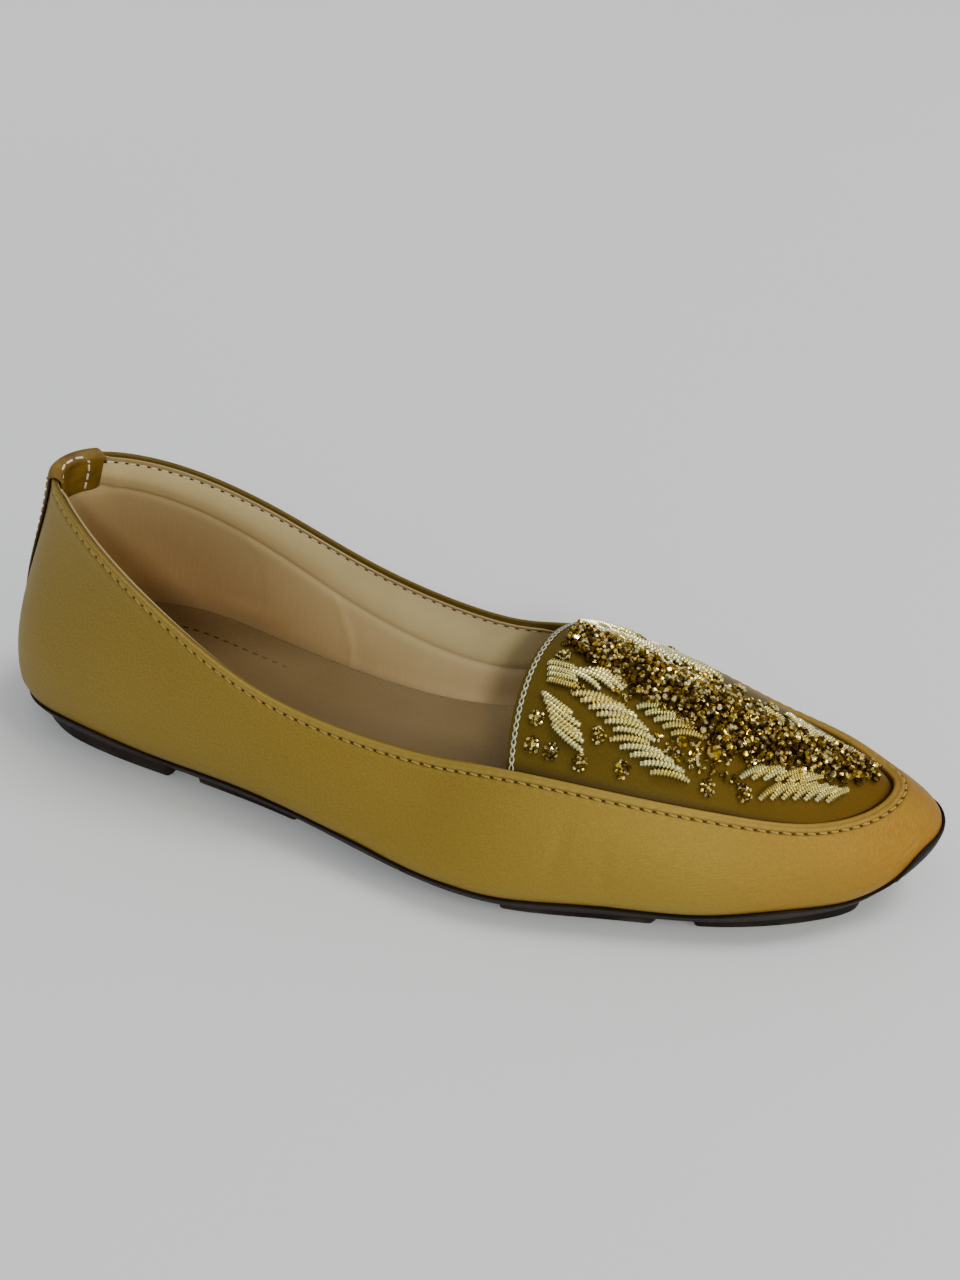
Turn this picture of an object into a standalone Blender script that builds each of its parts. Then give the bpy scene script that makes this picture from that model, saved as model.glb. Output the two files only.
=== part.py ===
"""A woman's flat loafer for the right foot, moccasin style, as separate solids in metres.

+X points to the toe, +Y to the inner (big toe) side and +Z up. The origin lies on the floor
under the middle of the heel pad. Every piece is worked out from one loop that runs round the
shoe: from the middle of the heel, along the outer side to the toe tip, and back along the
inner side.
"""

from collections import namedtuple

import bmesh
import bpy
import numpy as np

# Driving dimensions.
LENGTH = 0.255  # edge of the sole, heel to toe tip
BALL_WIDTH = 0.085  # across the two toe joints
BACK_HEIGHT = 0.071  # floor to the collar at the middle of the heel
INSTEP_RISE = 0.0165  # middle of the throat above its two corners
THROAT_SWEEP = 0.0052  # how fully the outer half of the throat is swept back to the heel
APRON_FULLNESS = 0.0055  # extra swell in the middle of the apron

TUCK = 0.0028  # how far the foot of the wall turns in to meet the sole
TUCK_HEIGHT = 0.0072

# Thicknesses.
WALL_AT_SOLE = 0.0020
WALL_AT_TOP = 0.0026
RIDGE_WIDTH = 0.0014  # folded edge of the wall around the apron
RIDGE_CROWN = 0.0003
APRON_SINK = 0.0008  # face of the apron below the folded edge
APRON_THICK = 0.0012
BACKING_THICK = 0.0012  # lining layer under the apron
INSOLE_THICK = 0.0032
STRAP_THICK = 0.0009
GAP = 0.0003  # between pieces that touch

# Sole.
LIP_THICK = 0.0006  # edge of the sole, where it laps the upper
LIP_HEIGHT = 0.0008  # edge of the sole, above the underside of the upper
LIP_REACH = 0.02  # share of LENGTH that its rise beside a pad goes on past the pad
BASE_THICK = 0.0020
MARGIN = 0.0080  # part of the upper that turns in under the foot
PAD_DRAFT = 0.0010
PAD_BACK = 0.0026  # more inset round the back of the heel
PAD_SINK = 0.0009  # how far a pad reaches into the base, to join it
TOE_LIFT_START = 0.92  # share of LENGTH where the pads leave the floor
TOE_LIFT_END = 0.99
TOE_LIFT = 0.85  # by then, share of the height of the base

HEEL_REST = 0.125 * LENGTH  # middle of the heel pad, from the back of the heel

# One row for each section, from the heel to the toe. Shares of LENGTH: along, top_along. Shares
# of BALL_WIDTH: outer and inner edge of the sole from the centre line, top_half (half the width
# between the top edges), top_shift (their middle, towards the inner side), belly (how far the
# wall swells low down) and lean (how far it stands out just under its top edge). Shares of
# BACK_HEIGHT: rim (edge of the sole) and top (collar, then the seam of the apron). under is how
# far below the top edge the wall turns in, as a share of its own height.
Section = namedtuple(
    "Section",
    "name along outer inner rim top_along top_half top_shift top belly lean under",
)
SECTIONS = (
    Section("heel_back", 0.000, 0.000, 0.000, 0.100, 0.049, 0.000, 0.000, 1.000, 0.052, 0.056, 0.35),
    Section("heel_corner", 0.024, 0.232, 0.224, 0.100, 0.072, 0.120, -0.005, 0.995, 0.052, 0.050, 0.35),
    Section("heel_side", 0.094, 0.336, 0.329, 0.100, 0.131, 0.239, -0.012, 0.927, 0.050, 0.032, 0.35),
    Section("seat", 0.227, 0.388, 0.295, 0.100, 0.247, 0.350, -0.017, 0.732, 0.038, 0.030, 0.35),
    Section("waist", 0.384, 0.447, 0.215, 0.095, 0.382, 0.380, -0.022, 0.532, 0.028, 0.035, 0.35),
    Section("arch", 0.510, 0.529, 0.240, 0.085, 0.520, 0.368, -0.020, 0.472, 0.028, 0.045, 0.30),
    Section("throat", 0.602, 0.548, 0.370, 0.083, 0.598, 0.378, -0.006, 0.497, 0.028, 0.068, 0.22),
    Section("inner_joint", 0.714, 0.471, 0.453, 0.090, 0.719, 0.340, 0.004, 0.474, 0.028, 0.080, 0.20),
    Section("toes", 0.816, 0.385, 0.429, 0.095, 0.816, 0.270, 0.018, 0.419, 0.026, 0.082, 0.18),
    Section("toe_side", 0.902, 0.256, 0.356, 0.107, 0.887, 0.202, 0.041, 0.388, 0.024, 0.082, 0.15),
    Section("toe_corner", 0.955, 0.126, 0.252, 0.140, 0.928, 0.107, 0.070, 0.372, 0.024, 0.082, 0.13),
    Section("toe_tip", 0.993, -0.085, 0.085, 0.240, 0.945, 0.000, 0.092, 0.385, 0.026, 0.082, 0.12),
)
THROAT_ROW = 6
TOE_SIDE_ROW = 9

# Columns round half the loop: heel to throat, throat to toe side, toe side to toe tip.
COLUMNS_COLLAR = 25
COLUMNS_APRON = 12
COLUMNS_TOE = 8
HEEL_CROWDING = 0.4  # columns stand closer round the heel

# Pads under the sole: where each starts and ends, as shares of LENGTH; how far its face on the
# floor is inside the edge of the sole, as a share of BALL_WIDTH; and how far the edge of the
# sole rises beside it, as a share of BACK_HEIGHT.
Pad = namedtuple("Pad", "name start end inset rise")
PADS = (
    Pad("heel", 0.012, 0.222, 0.021, 0.056),
    Pad("seat", 0.250, 0.377, 0.041, 0.008),
    Pad("waist", 0.410, 0.510, 0.052, 0.024),
    Pad("arch", 0.556, 0.580, 0.050, 0.004),
    Pad("ball", 0.610, 0.760, 0.033, 0.014),
    Pad("toes", 0.793, 0.940, 0.038, 0.026),
    Pad("tip", 0.966, 0.990, 0.024, 0.026),
)

MATERIALS = {  # colour, roughness
    "satin_leather": ((0.36, 0.235, 0.065), 0.5),
    "apron_satin": ((0.26, 0.17, 0.04), 0.5),
    "sock_lining": ((0.52, 0.38, 0.25), 0.7),
    "sole_rubber": ((0.030, 0.018, 0.016), 0.6),
    "strap_leather": ((0.27, 0.15, 0.03), 0.35),
}


# ---------------------------------------------------------------------------------------------
# The loop and the surfaces on it.


def periodic_spline(at, values):
    """A smooth closed curve through values, whose last row repeats the first. Gives a function
    of position that returns (point, direction)."""
    spans = np.diff(at)
    count = len(spans)
    slopes = np.diff(values, axis=0) / spans[:, None]
    matrix = np.zeros((count, count))
    for i in range(count):
        matrix[i, i - 1] += spans[i - 1]
        matrix[i, i] += 2 * (spans[i - 1] + spans[i])
        matrix[i, (i + 1) % count] += spans[i]
    bends = np.linalg.solve(matrix, 6 * (slopes - np.roll(slopes, 1, axis=0)))

    def curve(position):
        position = np.mod(position, at[-1])
        i = np.clip(np.searchsorted(at, position, side="right") - 1, 0, count - 1)
        step = (position - at[i])[:, None]
        span = spans[i][:, None]
        first, last = bends[i], bends[(i + 1) % count]
        slope = slopes[i] - span * (2 * first + last) / 6
        rate = (last - first) / span
        point = values[i] + step * (slope + step * (first / 2 + step * rate / 6))
        return point, slope + step * (first + step * rate / 2)

    return curve


def round_the_shoe(outer, inner):
    """A column of the table, taken down the outer side and back up the inner side."""
    outer, inner = np.array(outer, float), np.array(inner, float)
    return np.concatenate([outer, inner[-2:0:-1], outer[:1]])


def column(name):
    return np.array([getattr(section, name) for section in SECTIONS])


def read_table():
    """(positions of the sections round the loop, spline of the sole's edge and its settings)."""
    along = column("along") * LENGTH - HEEL_REST
    top_along = column("top_along") * LENGTH - HEEL_REST
    outer, inner = column("outer") * BALL_WIDTH, column("inner") * BALL_WIDTH
    half, shift = column("top_half") * BALL_WIDTH, column("top_shift") * BALL_WIDTH
    rim, top = column("rim") * BACK_HEIGHT, column("top") * BACK_HEIGHT
    belly, lean = column("belly") * BALL_WIDTH, column("lean") * BALL_WIDTH
    both = [
        (along, along),
        (-outer, inner),
        (rim, rim),
        (top_along, top_along),
        (shift - half, shift + half),
        (top, top),
        (belly, belly),
        (lean, lean),
        (column("under"), column("under")),
    ]
    values = np.stack([round_the_shoe(a, b) for a, b in both], axis=1)
    values[-1] = values[0]
    edges = np.linalg.norm(np.diff(values[:, :2], axis=0), axis=1)
    at = np.concatenate([[0.0], np.cumsum(edges)])
    return at, periodic_spline(at, values)


SECTION_AT, LOOP = read_table()
LAST_ROW = len(SECTIONS) - 1


def outwards(direction):
    """Level unit vectors pointing out of the shoe, for directions of travel round the loop."""
    normal = np.stack([direction[:, 1], -direction[:, 0], np.zeros(len(direction))], axis=1)
    return normal / np.linalg.norm(normal, axis=1)[:, None]


class Columns:
    """What the table says at some positions round the loop."""

    def __init__(self, positions):
        value, direction = LOOP(np.asarray(positions, float))
        self.out = outwards(direction)
        self.top_out = outwards(direction[:, 3:5])
        self.sole_edge = value[:, :3]
        self.edge = value[:, 3:6]  # middle of the top edge
        self.top = self.edge + self.top_out * WALL_AT_TOP / 2
        self.feather = self.sole_edge - (LIP_THICK + GAP) * self.out - [0, 0, LIP_HEIGHT]
        self.belly, self.lean, self.under = (value[:, i : i + 1] for i in (6, 7, 8))

    def wall(self, share):
        """The outer face of the upper, from the feather line (0) to the top edge (1)."""
        share = np.broadcast_to(share, (len(self.top),))[:, None]
        foot = self.feather + self.out * TUCK
        height = (self.top - foot) * [0, 0, 1]
        low = foot + self.out * self.belly + 0.35 * height
        high = self.top + self.out * self.lean - self.under * height
        rest = 1 - share
        face = (
            rest**3 * foot
            + 3 * share * rest**2 * low
            + 3 * share**2 * rest * high
            + share**3 * self.top
        )
        under = 1 - np.clip((face[:, 2:] - foot[:, 2:]) / TUCK_HEIGHT, 0, 1)
        return face - self.out * TUCK * under**2


def wall_normal(positions, share, reach=0.0015):
    """Unit vectors square to the outer face of the upper."""
    ahead, behind = Columns(positions + reach), Columns(positions - reach)
    here = Columns(positions)
    small = 0.02
    level = ahead.wall(share) - behind.wall(share)
    upright = here.wall(np.minimum(share + small, 1)) - here.wall(np.maximum(share - small, 0))
    normal = np.cross(level, upright)
    return normal / np.linalg.norm(normal, axis=1)[:, None]


def half_positions():
    """Positions of the columns down the outer side, from the heel to the toe tip."""
    corners = SECTION_AT[[0, THROAT_ROW, TOE_SIDE_ROW, LAST_ROW]]
    counts = (COLUMNS_COLLAR, COLUMNS_APRON, COLUMNS_TOE)
    parts = [
        np.linspace(start, end, count, endpoint=False)
        for start, end, count in zip(corners[:-1], corners[1:], counts)
    ]
    share = parts[0] / corners[1]
    parts[0] = corners[1] * share * (1 - HEEL_CROWDING * (1 - share))
    return np.concatenate([*parts, corners[-1:]])


def column_positions():
    """Positions of all columns. Column j and column -j face each other across the shoe."""
    outer = half_positions()
    rows = np.interp(outer, SECTION_AT[: LAST_ROW + 1], np.arange(LAST_ROW + 1))
    inner = np.interp(2 * LAST_ROW - rows, np.arange(len(SECTION_AT)), SECTION_AT)
    return np.concatenate([outer, inner[-2:0:-1]])


POSITIONS = column_positions()
ROUND = Columns(POSITIONS)
COUNT = len(POSITIONS)
TIP = COUNT // 2
THROAT = COLUMNS_COLLAR  # column of the outer throat corner; the inner one is -THROAT
TOE_SIDE = COLUMNS_COLLAR + COLUMNS_APRON


def smoothstep(value):
    value = np.clip(value, 0, 1)
    return value * value * (3 - 2 * value)


def frontness():
    """0 along the collar and 1 along the apron, for each column."""
    from_heel = np.minimum(np.arange(COUNT), COUNT - np.arange(COUNT))
    return smoothstep((from_heel - THROAT + 2) / 2)[:, None]


def inner_wall(positions, share):
    """The inner face of the upper, facing the outer one at the same share of its height."""
    thick = WALL_AT_SOLE + (WALL_AT_TOP - WALL_AT_SOLE) * share
    return Columns(positions).wall(share) - thick * wall_normal(positions, share)


def top_rows(columns, front):
    """The rows that go over the top edge: crest, ledge and inner top. Along the collar they make
    a rounded lip, and along the apron a folded ridge that the apron sits inside."""
    up = np.array([0, 0, 1])
    inwards = -columns.top_out
    # The ledge is deeper than the gap alone, because the apron climbs steeply from its edge.
    ledge_drop = APRON_SINK + APRON_THICK + 3 * GAP
    lip = (
        columns.edge + up * 0.0003,
        columns.top + inwards * WALL_AT_TOP - up * 0.0003,
        columns.top + inwards * WALL_AT_TOP - up * 0.0024,
    )
    ridge = (
        columns.top + inwards * RIDGE_WIDTH / 2 + up * RIDGE_CROWN,
        columns.top + inwards * RIDGE_WIDTH - up * ledge_drop,
        columns.top + inwards * RIDGE_WIDTH - up * (ledge_drop + BACKING_THICK),
    )
    return [a * (1 - front) + b * front for a, b in zip(lip, ridge)]


def bed(x):
    """Height of the level the upper's margin lies on, which rises to the heel and the toe."""
    outer = ROUND.feather[: TIP + 1]
    return np.interp(x, outer[:, 0], outer[:, 2])


def on_bed(columns, inset, above):
    """Points brought in from the feather line by inset, at a height above the bed."""
    points = columns.feather - columns.out * inset
    points[:, 2] = bed(points[:, 0]) + above
    return points


OUTER_SHARES = (0.025, 0.06, 0.105, 0.16, 0.24, 0.34, 0.46, 0.58, 0.70, 0.82, 0.92, 1.0)
INNER_SHARES = (0.86, 0.70, 0.54, 0.38, 0.24, 0.14, 0.08)


def upper_rows(positions, front):
    """The closed outline of the upper at each position, as rows of points: in along the underside
    of the margin, up the outer face, over the top, down the inner face and out along the
    margin."""
    columns = Columns(positions)
    return [
        on_bed(columns, MARGIN, 0),
        columns.feather - columns.out * 0.0010,
        *[columns.wall(share) for share in OUTER_SHARES],
        *top_rows(columns, front),
        *[inner_wall(positions, share) for share in INNER_SHARES],
        on_bed(columns, WALL_AT_SOLE + 0.0010, WALL_AT_SOLE),
        on_bed(columns, MARGIN, WALL_AT_SOLE),
    ]


# ---------------------------------------------------------------------------------------------
# Meshes.


class Builder:
    """Collects points and faces for one closed solid."""

    def __init__(self):
        self.points = []
        self.faces = []

    def add(self, points):
        """Adds an array of points of any shape and returns their numbers in that shape."""
        points = np.asarray(points, float)
        numbers = np.arange(points[..., 0].size).reshape(points.shape[:-1]) + len(self.points)
        self.points.extend(points.reshape(-1, 3))
        return numbers

    def band(self, first, second, closed=True):
        """Quads between two rows of equal length."""
        last = len(first) if closed else len(first) - 1
        for j in range(last):
            k = (j + 1) % len(first)
            self.faces.append((first[j], first[k], second[k], second[j]))

    def grid(self, numbers):
        for first, second in zip(numbers[:-1], numbers[1:]):
            self.band(first, second, closed=False)

    def ladder(self, ring):
        """Closes a ring with rungs from each column to the one that faces it."""
        half = len(ring) // 2
        self.faces.append((ring[0], ring[1], ring[-1]))
        for j in range(1, half - 1):
            self.faces.append((ring[j], ring[j + 1], ring[-j - 1], ring[-j]))
        self.faces.append((ring[half - 1], ring[half], ring[half + 1]))

    def build(self, name, material):
        mesh = bpy.data.meshes.new(name)
        mesh.from_pydata([tuple(p) for p in self.points], [], [tuple(f) for f in self.faces])
        made = bmesh.new()
        made.from_mesh(mesh)
        bmesh.ops.recalc_face_normals(made, faces=made.faces)
        bmesh.ops.triangulate(made, faces=made.faces, quad_method="SHORT_EDGE")
        made.to_mesh(mesh)
        made.free()
        mesh.shade_smooth()
        mesh.set_sharp_from_angle(angle=0.7)
        piece = bpy.data.objects.new(name, mesh)
        bpy.context.scene.collection.objects.link(piece)
        if material:
            mesh.materials.append(bpy.data.materials[material])
        return piece


def make_materials():
    for name, (colour, roughness) in MATERIALS.items():
        material = bpy.data.materials.new(name)
        material.use_nodes = True
        shader = material.node_tree.nodes["Principled BSDF"]
        shader.inputs["Base Color"].default_value = (*colour, 1)
        shader.inputs["Roughness"].default_value = roughness
        material.diffuse_color = (*colour, 1)


def patch(outer, inner, throat, toe):
    """A grid of points that fills four edges: rows from the throat to the toe, columns from the
    outer seam to the inner seam."""
    s = np.linspace(0, 1, len(outer))[:, None, None]
    t = np.linspace(0, 1, len(throat))[None, :, None]
    sides = (1 - t) * outer[:, None] + t * inner[:, None]
    ends = (1 - s) * throat[None] + s * toe[None]
    corners = (1 - s) * ((1 - t) * throat[0] + t * throat[-1]) + s * (
        (1 - t) * toe[0] + t * toe[-1]
    )
    swell = APRON_FULLNESS * 16 * s * (1 - s) * t * (1 - t)
    return sides + ends - corners + swell * np.array([0, 0, 1])


def seam_edges(ring):
    """(outer, inner, throat, toe) edges of the apron, from a ring of points along the seam."""
    outer = ring[THROAT : TOE_SIDE + 1]
    inner = ring[COUNT - np.arange(THROAT, TOE_SIDE + 1)]
    toe = ring[TOE_SIDE : COUNT - TOE_SIDE + 1]
    t = np.linspace(0, 1, len(toe))[:, None]
    arch = 1 - (2 * t - 1) ** 2
    sweep = 4 * t * (1 - t) ** 2
    throat = (1 - t) * outer[0] + t * inner[0]
    throat = throat + arch * [0, 0, INSTEP_RISE] - sweep * [THROAT_SWEEP, 0, 0]
    return outer, inner, throat, toe


def apron_face():
    """The grid of the apron's upper face, inside the folded ridge."""
    edge = ROUND.top - ROUND.top_out * (RIDGE_WIDTH + GAP) - np.array([0, 0, APRON_SINK])
    return patch(*seam_edges(edge))


def make_upper():
    """Wall, folded ridge, collar lip, turned-in margin and the lining layer under the apron, in
    one hollow solid. It is open at the collar and under the foot."""
    build = Builder()
    rows = [build.add(row) for row in upper_rows(POSITIONS, frontness())]
    ledge = 2 + len(OUTER_SHARES) + 1
    for i, row in enumerate(rows):
        following = rows[(i + 1) % len(rows)]
        if i != ledge:
            build.band(row, following)
            continue
        # Along the apron this band is left out, because the backing joins on there.
        for j in [*range(THROAT), *range(COUNT - THROAT, COUNT)]:
            k = (j + 1) % COUNT
            build.faces.append((row[j], row[k], following[k], following[j]))
    skins = []
    below = APRON_THICK + GAP
    for row, depth in ((rows[ledge], below), (rows[ledge + 1], below + BACKING_THICK)):
        numbers = build.add(apron_face() - np.array([0, 0, depth]))
        numbers[:, 0] = row[THROAT : TOE_SIDE + 1]
        numbers[:, -1] = row[COUNT - np.arange(THROAT, TOE_SIDE + 1)]
        numbers[-1] = row[TOE_SIDE : COUNT - TOE_SIDE + 1]
        skins.append(numbers)
    build.grid(skins[0])
    build.grid(skins[1])
    build.band(skins[0][0], skins[1][0], closed=False)
    piece = build.build("upper", "satin_leather")
    drop_loose_points(piece)
    return piece


def drop_loose_points(piece):
    """Removes grid points that a seam's own points stand in for."""
    made = bmesh.new()
    made.from_mesh(piece.data)
    loose = [v for v in made.verts if not v.link_faces]
    bmesh.ops.delete(made, geom=loose, context="VERTS")
    made.to_mesh(piece.data)
    made.free()


def make_apron():
    """The embroidered panel over the toes, inside the folded ridge."""
    up = np.array([0, 0, 1])
    face = apron_face()
    build = Builder()
    top = build.add(face)
    bottom = build.add(face - up * APRON_THICK)
    build.grid(top)
    build.grid(bottom)
    build.band(top[0], bottom[0], closed=False)
    build.band(top[-1], bottom[-1], closed=False)
    build.band(top[:, 0], bottom[:, 0], closed=False)
    build.band(top[:, -1], bottom[:, -1], closed=False)
    return build.build("apron", "apron_satin")


def rise_beside_pads():
    """How far the edge of the sole rises beside each pad, for each column."""
    along = (ROUND.sole_edge[:, 0] + HEEL_REST) / LENGTH
    rise = np.zeros(COUNT)
    for pad in PADS:
        middle, half = (pad.start + pad.end) / 2, (pad.end - pad.start) / 2 + LIP_REACH
        off = np.clip(np.abs(along - middle) / half, 0, 1)
        rise += pad.rise * BACK_HEIGHT * (1 - off**2) ** 2
    return rise


def sole_rows():
    """Rows round the outsole, from its lower corner, up its edge, over the rim and into the cup."""
    height = (ROUND.top - ROUND.feather)[:, 2]
    rise = (LIP_HEIGHT + rise_beside_pads()) / (1.05 * height)
    normal = wall_normal(POSITIONS, rise)
    rim = ROUND.wall(rise)
    floor = ROUND.feather - [0, 0, GAP]
    low = floor - [0, 0, BASE_THICK]
    return [
        on_bed(ROUND, 0.0040, -BASE_THICK - GAP),
        low - ROUND.out * 0.0006,
        low + ROUND.out * 0.0006 + [0, 0, 0.0009],
        rim + normal * (GAP + LIP_THICK),
        rim + normal * (GAP + 0.0001),
        floor + ROUND.out * GAP,
        on_bed(ROUND, MARGIN + GAP, -GAP),
        on_bed(ROUND, MARGIN + 2 * GAP, WALL_AT_SOLE),
    ]


def pad_ring(inset):
    """The sole's edge brought in by inset, and by more round the back of the heel."""
    along = (ROUND.sole_edge[:, 0] + HEEL_REST) / LENGTH
    back = PAD_BACK * (1 - smoothstep(along / 0.10))
    return ROUND.sole_edge - ROUND.out * (inset + back[:, None])


def sole_side(inset, x, outer):
    """How far the sole's edge, brought in by inset, is from the centre line at x."""
    ring = pad_ring(inset)
    half = ring[: TIP + 1] if outer else ring[np.r_[0, COUNT - 1 : TIP - 1 : -1]]
    return np.interp(x, half[:, 0], half[:, 1])


def make_pad(pad, base_rows):
    """One lug, from just inside the base down to the floor, as a helper for the union."""
    face_inset = pad.inset * BALL_WIDTH
    ring = pad_ring(face_inset)
    low_x, high_x = ring[:, 0].min(), ring[:, 0].max()
    start = max(pad.start * LENGTH - HEEL_REST, low_x + 0.0010)
    end = min(pad.end * LENGTH - HEEL_REST, high_x - 0.0010)
    share = np.linspace(0, np.pi, 15)
    x = start + (end - start) * (1 - np.cos(share)) / 2
    corner = base_rows[1][: TIP + 1]
    base = np.interp(x, corner[:, 0], corner[:, 2])
    lift = ((x + HEEL_REST) / LENGTH - TOE_LIFT_START) / (TOE_LIFT_END - TOE_LIFT_START)
    above = base + PAD_SINK
    below = TOE_LIFT * smoothstep(lift) * base
    corners = (1 - np.sin(share)) ** 2
    builder = Builder()
    layers = []
    for height, inset, trim in (
        (above, face_inset - PAD_DRAFT, 0.0),
        (below + 0.6 * PAD_DRAFT, face_inset - 0.6 * PAD_DRAFT, 0.2),
        (below, face_inset, 1.0),
    ):
        middle = (start + end) / 2
        shrink = 1 - 2 * trim * PAD_DRAFT / (end - start)
        at = middle + (x - middle) * shrink
        outer, inner = sole_side(inset, at, True), sole_side(inset, at, False)
        round_off = corners * np.minimum(0.0008, 0.25 * (inner - outer))
        outer, inner = outer + round_off, inner - round_off
        outer_line = np.stack([at, outer, height], axis=1)
        inner_line = np.stack([at, inner, height], axis=1)
        layers.append(builder.add(np.concatenate([outer_line, inner_line[::-1]])))
    for first, second in zip(layers[:-1], layers[1:]):
        builder.band(first, second)
    for ring_numbers in (layers[0], layers[-1]):
        half = len(x)
        for j in range(half - 1):
            k = 2 * half - 1 - j
            builder.faces.append(
                (ring_numbers[j], ring_numbers[j + 1], ring_numbers[k - 1], ring_numbers[k])
            )
    return builder.build("pad_" + pad.name, None)


def make_outsole():
    """A thin rubber cup with a waved edge, and lugs under it joined by unions."""
    rows = sole_rows()
    build = Builder()
    numbers = [build.add(row) for row in rows]
    for first, second in zip(numbers[:-1], numbers[1:]):
        build.band(first, second)
    build.ladder(numbers[0])
    build.ladder(numbers[-1])
    sole = build.build("outsole", "sole_rubber")
    for pad in PADS:
        lug = make_pad(pad, rows)
        lug.hide_render = True
        lug.display_type = "WIRE"
        join = sole.modifiers.new("join_" + pad.name, "BOOLEAN")
        join.operation = "UNION"
        join.solver = "EXACT"
        join.object = lug
    return sole


def make_insole():
    """Board, foam and sock in one slab that fills the bottom of the upper."""
    seat = WALL_AT_SOLE + GAP
    edge = WALL_AT_SOLE + 0.0010 + GAP
    build = Builder()
    numbers = [
        build.add(on_bed(ROUND, edge, seat)),
        build.add(on_bed(ROUND, 0.0017, seat + 0.75 * INSOLE_THICK)),
        build.add(on_bed(ROUND, 0.0014, seat + INSOLE_THICK)),
    ]
    for first, second in zip(numbers[:-1], numbers[1:]):
        build.band(first, second)
    build.ladder(numbers[0])
    build.ladder(numbers[-1])
    return build.build("insole", "sock_lining")


def grid_normals(grid):
    """Unit vectors square to a grid of points."""
    rows = np.gradient(grid, axis=0)
    columns = np.gradient(grid, axis=1)
    normal = np.cross(rows, columns)
    return normal / np.linalg.norm(normal, axis=2)[:, :, None]


STRAP_HALF_TOP = 0.0103  # half the strap's width where it goes over the collar
STRAP_HALF_LOW = 0.0070  # and at the sole
STRAP_INSIDE_ROWS = 2  # rows of the inner face that it reaches down to
STRAP_SHIFT = 0.0014  # towards the inner side


def make_heel_strap():
    """The strap that covers the back seam, folds over the collar and is sewn down inside."""
    across = np.linspace(-1, 1, 9)
    first_row = 4  # clear of the sole's rim
    last_row = 2 + len(OUTER_SHARES) + 3 + STRAP_INSIDE_ROWS
    widths = np.interp(
        np.arange(first_row, last_row),
        [first_row, 2 + len(OUTER_SHARES)],
        [STRAP_HALF_LOW, STRAP_HALF_TOP],
    )
    lines = []
    scan = np.linspace(-0.04, 0.04, 161)
    scanned = upper_rows(scan, np.zeros((len(scan), 1)))
    for row, width in zip(range(first_row, last_row), widths):
        steps = np.linalg.norm(np.diff(scanned[row], axis=0), axis=1)
        arc = np.concatenate([[0.0], np.cumsum(steps)])
        arc -= arc[len(scan) // 2]
        positions = np.interp(across * width - STRAP_SHIFT, arc, scan)
        lines.append(upper_rows(positions, np.zeros((len(across), 1)))[row])
    grid = np.array(lines)
    normal = -grid_normals(grid)
    build = Builder()
    low = build.add(grid + normal * GAP)
    high = build.add(grid + normal * (GAP + STRAP_THICK))
    build.grid(low)
    build.grid(high)
    build.band(low[0], high[0], closed=False)
    build.band(low[-1], high[-1], closed=False)
    build.band(low[:, 0], high[:, 0], closed=False)
    build.band(low[:, -1], high[:, -1], closed=False)
    return build.build("heel_strap", "strap_leather")


def main():
    for old in list(bpy.data.objects):
        bpy.data.objects.remove(old)
    make_materials()
    make_upper()
    make_apron()
    make_outsole()
    make_insole()
    make_heel_strap()


main()
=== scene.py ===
# %% [markdown]
# # A moccasin loafer with an embroidered apron
# One flat shoe for the right foot. Its wall is one band of mustard satin, folded over at the
# top and stitched. Inside the fold sits the apron, a darker satin panel with bullion-cord
# leaves and crystals. There is a padded lining, a strap over the heel seam, an insole and a thin
# rubber sole with lugs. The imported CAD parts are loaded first, because every piece rides on
# them and stays inside their box. +X points to the toe, +Y to the inner side and +Z up.

# %% Load the frame
import math
from collections import namedtuple

import bpy
import numpy as np
from mathutils import Matrix, Vector
from mathutils.bvhtree import BVHTree


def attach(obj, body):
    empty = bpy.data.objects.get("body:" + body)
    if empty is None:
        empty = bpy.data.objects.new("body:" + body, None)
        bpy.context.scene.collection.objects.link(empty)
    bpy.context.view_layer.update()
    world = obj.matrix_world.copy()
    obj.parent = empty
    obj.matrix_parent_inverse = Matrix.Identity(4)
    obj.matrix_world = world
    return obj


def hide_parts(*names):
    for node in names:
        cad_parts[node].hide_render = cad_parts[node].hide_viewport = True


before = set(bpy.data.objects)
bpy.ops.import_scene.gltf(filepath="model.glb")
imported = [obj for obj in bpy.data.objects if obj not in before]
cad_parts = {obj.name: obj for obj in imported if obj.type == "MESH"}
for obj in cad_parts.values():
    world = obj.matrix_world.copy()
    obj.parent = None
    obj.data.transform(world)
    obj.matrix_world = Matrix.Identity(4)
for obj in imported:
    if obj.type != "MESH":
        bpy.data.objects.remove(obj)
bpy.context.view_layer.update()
print("CAD nodes:", sorted(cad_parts))

# %% [markdown]
# ## Sizes of the shoe
# A shoemaker works on a last, a solid foot shape, and measures it in sections. The same table
# of sections shapes every piece here, so that they all fit each other and the CAD parts.
# Lengths are in metres. The table's columns are shares of the length, the ball width and the
# height of the back, so that a size can change without a new table.

# %% Driving sizes and the table of sections
LENGTH = 0.255
BALL_WIDTH = 0.085
BACK_HEIGHT = 0.071
HEEL_REST = 0.125 * LENGTH  # the origin, from the back of the heel
INSTEP_RISE = 0.0165
THROAT_SWEEP = 0.0052
APRON_FULLNESS = 0.0055
TUCK, TUCK_HEIGHT = 0.0028, 0.0072  # how the foot of the wall turns in to the sole
BELLY_AT = 0.35  # how high up the wall it is fullest
WALL_AT_SOLE, WALL_AT_TOP = 0.0020, 0.0026
GAP = 0.0003
LIP_THICK, LIP_HEIGHT = 0.0006, 0.0008

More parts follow.
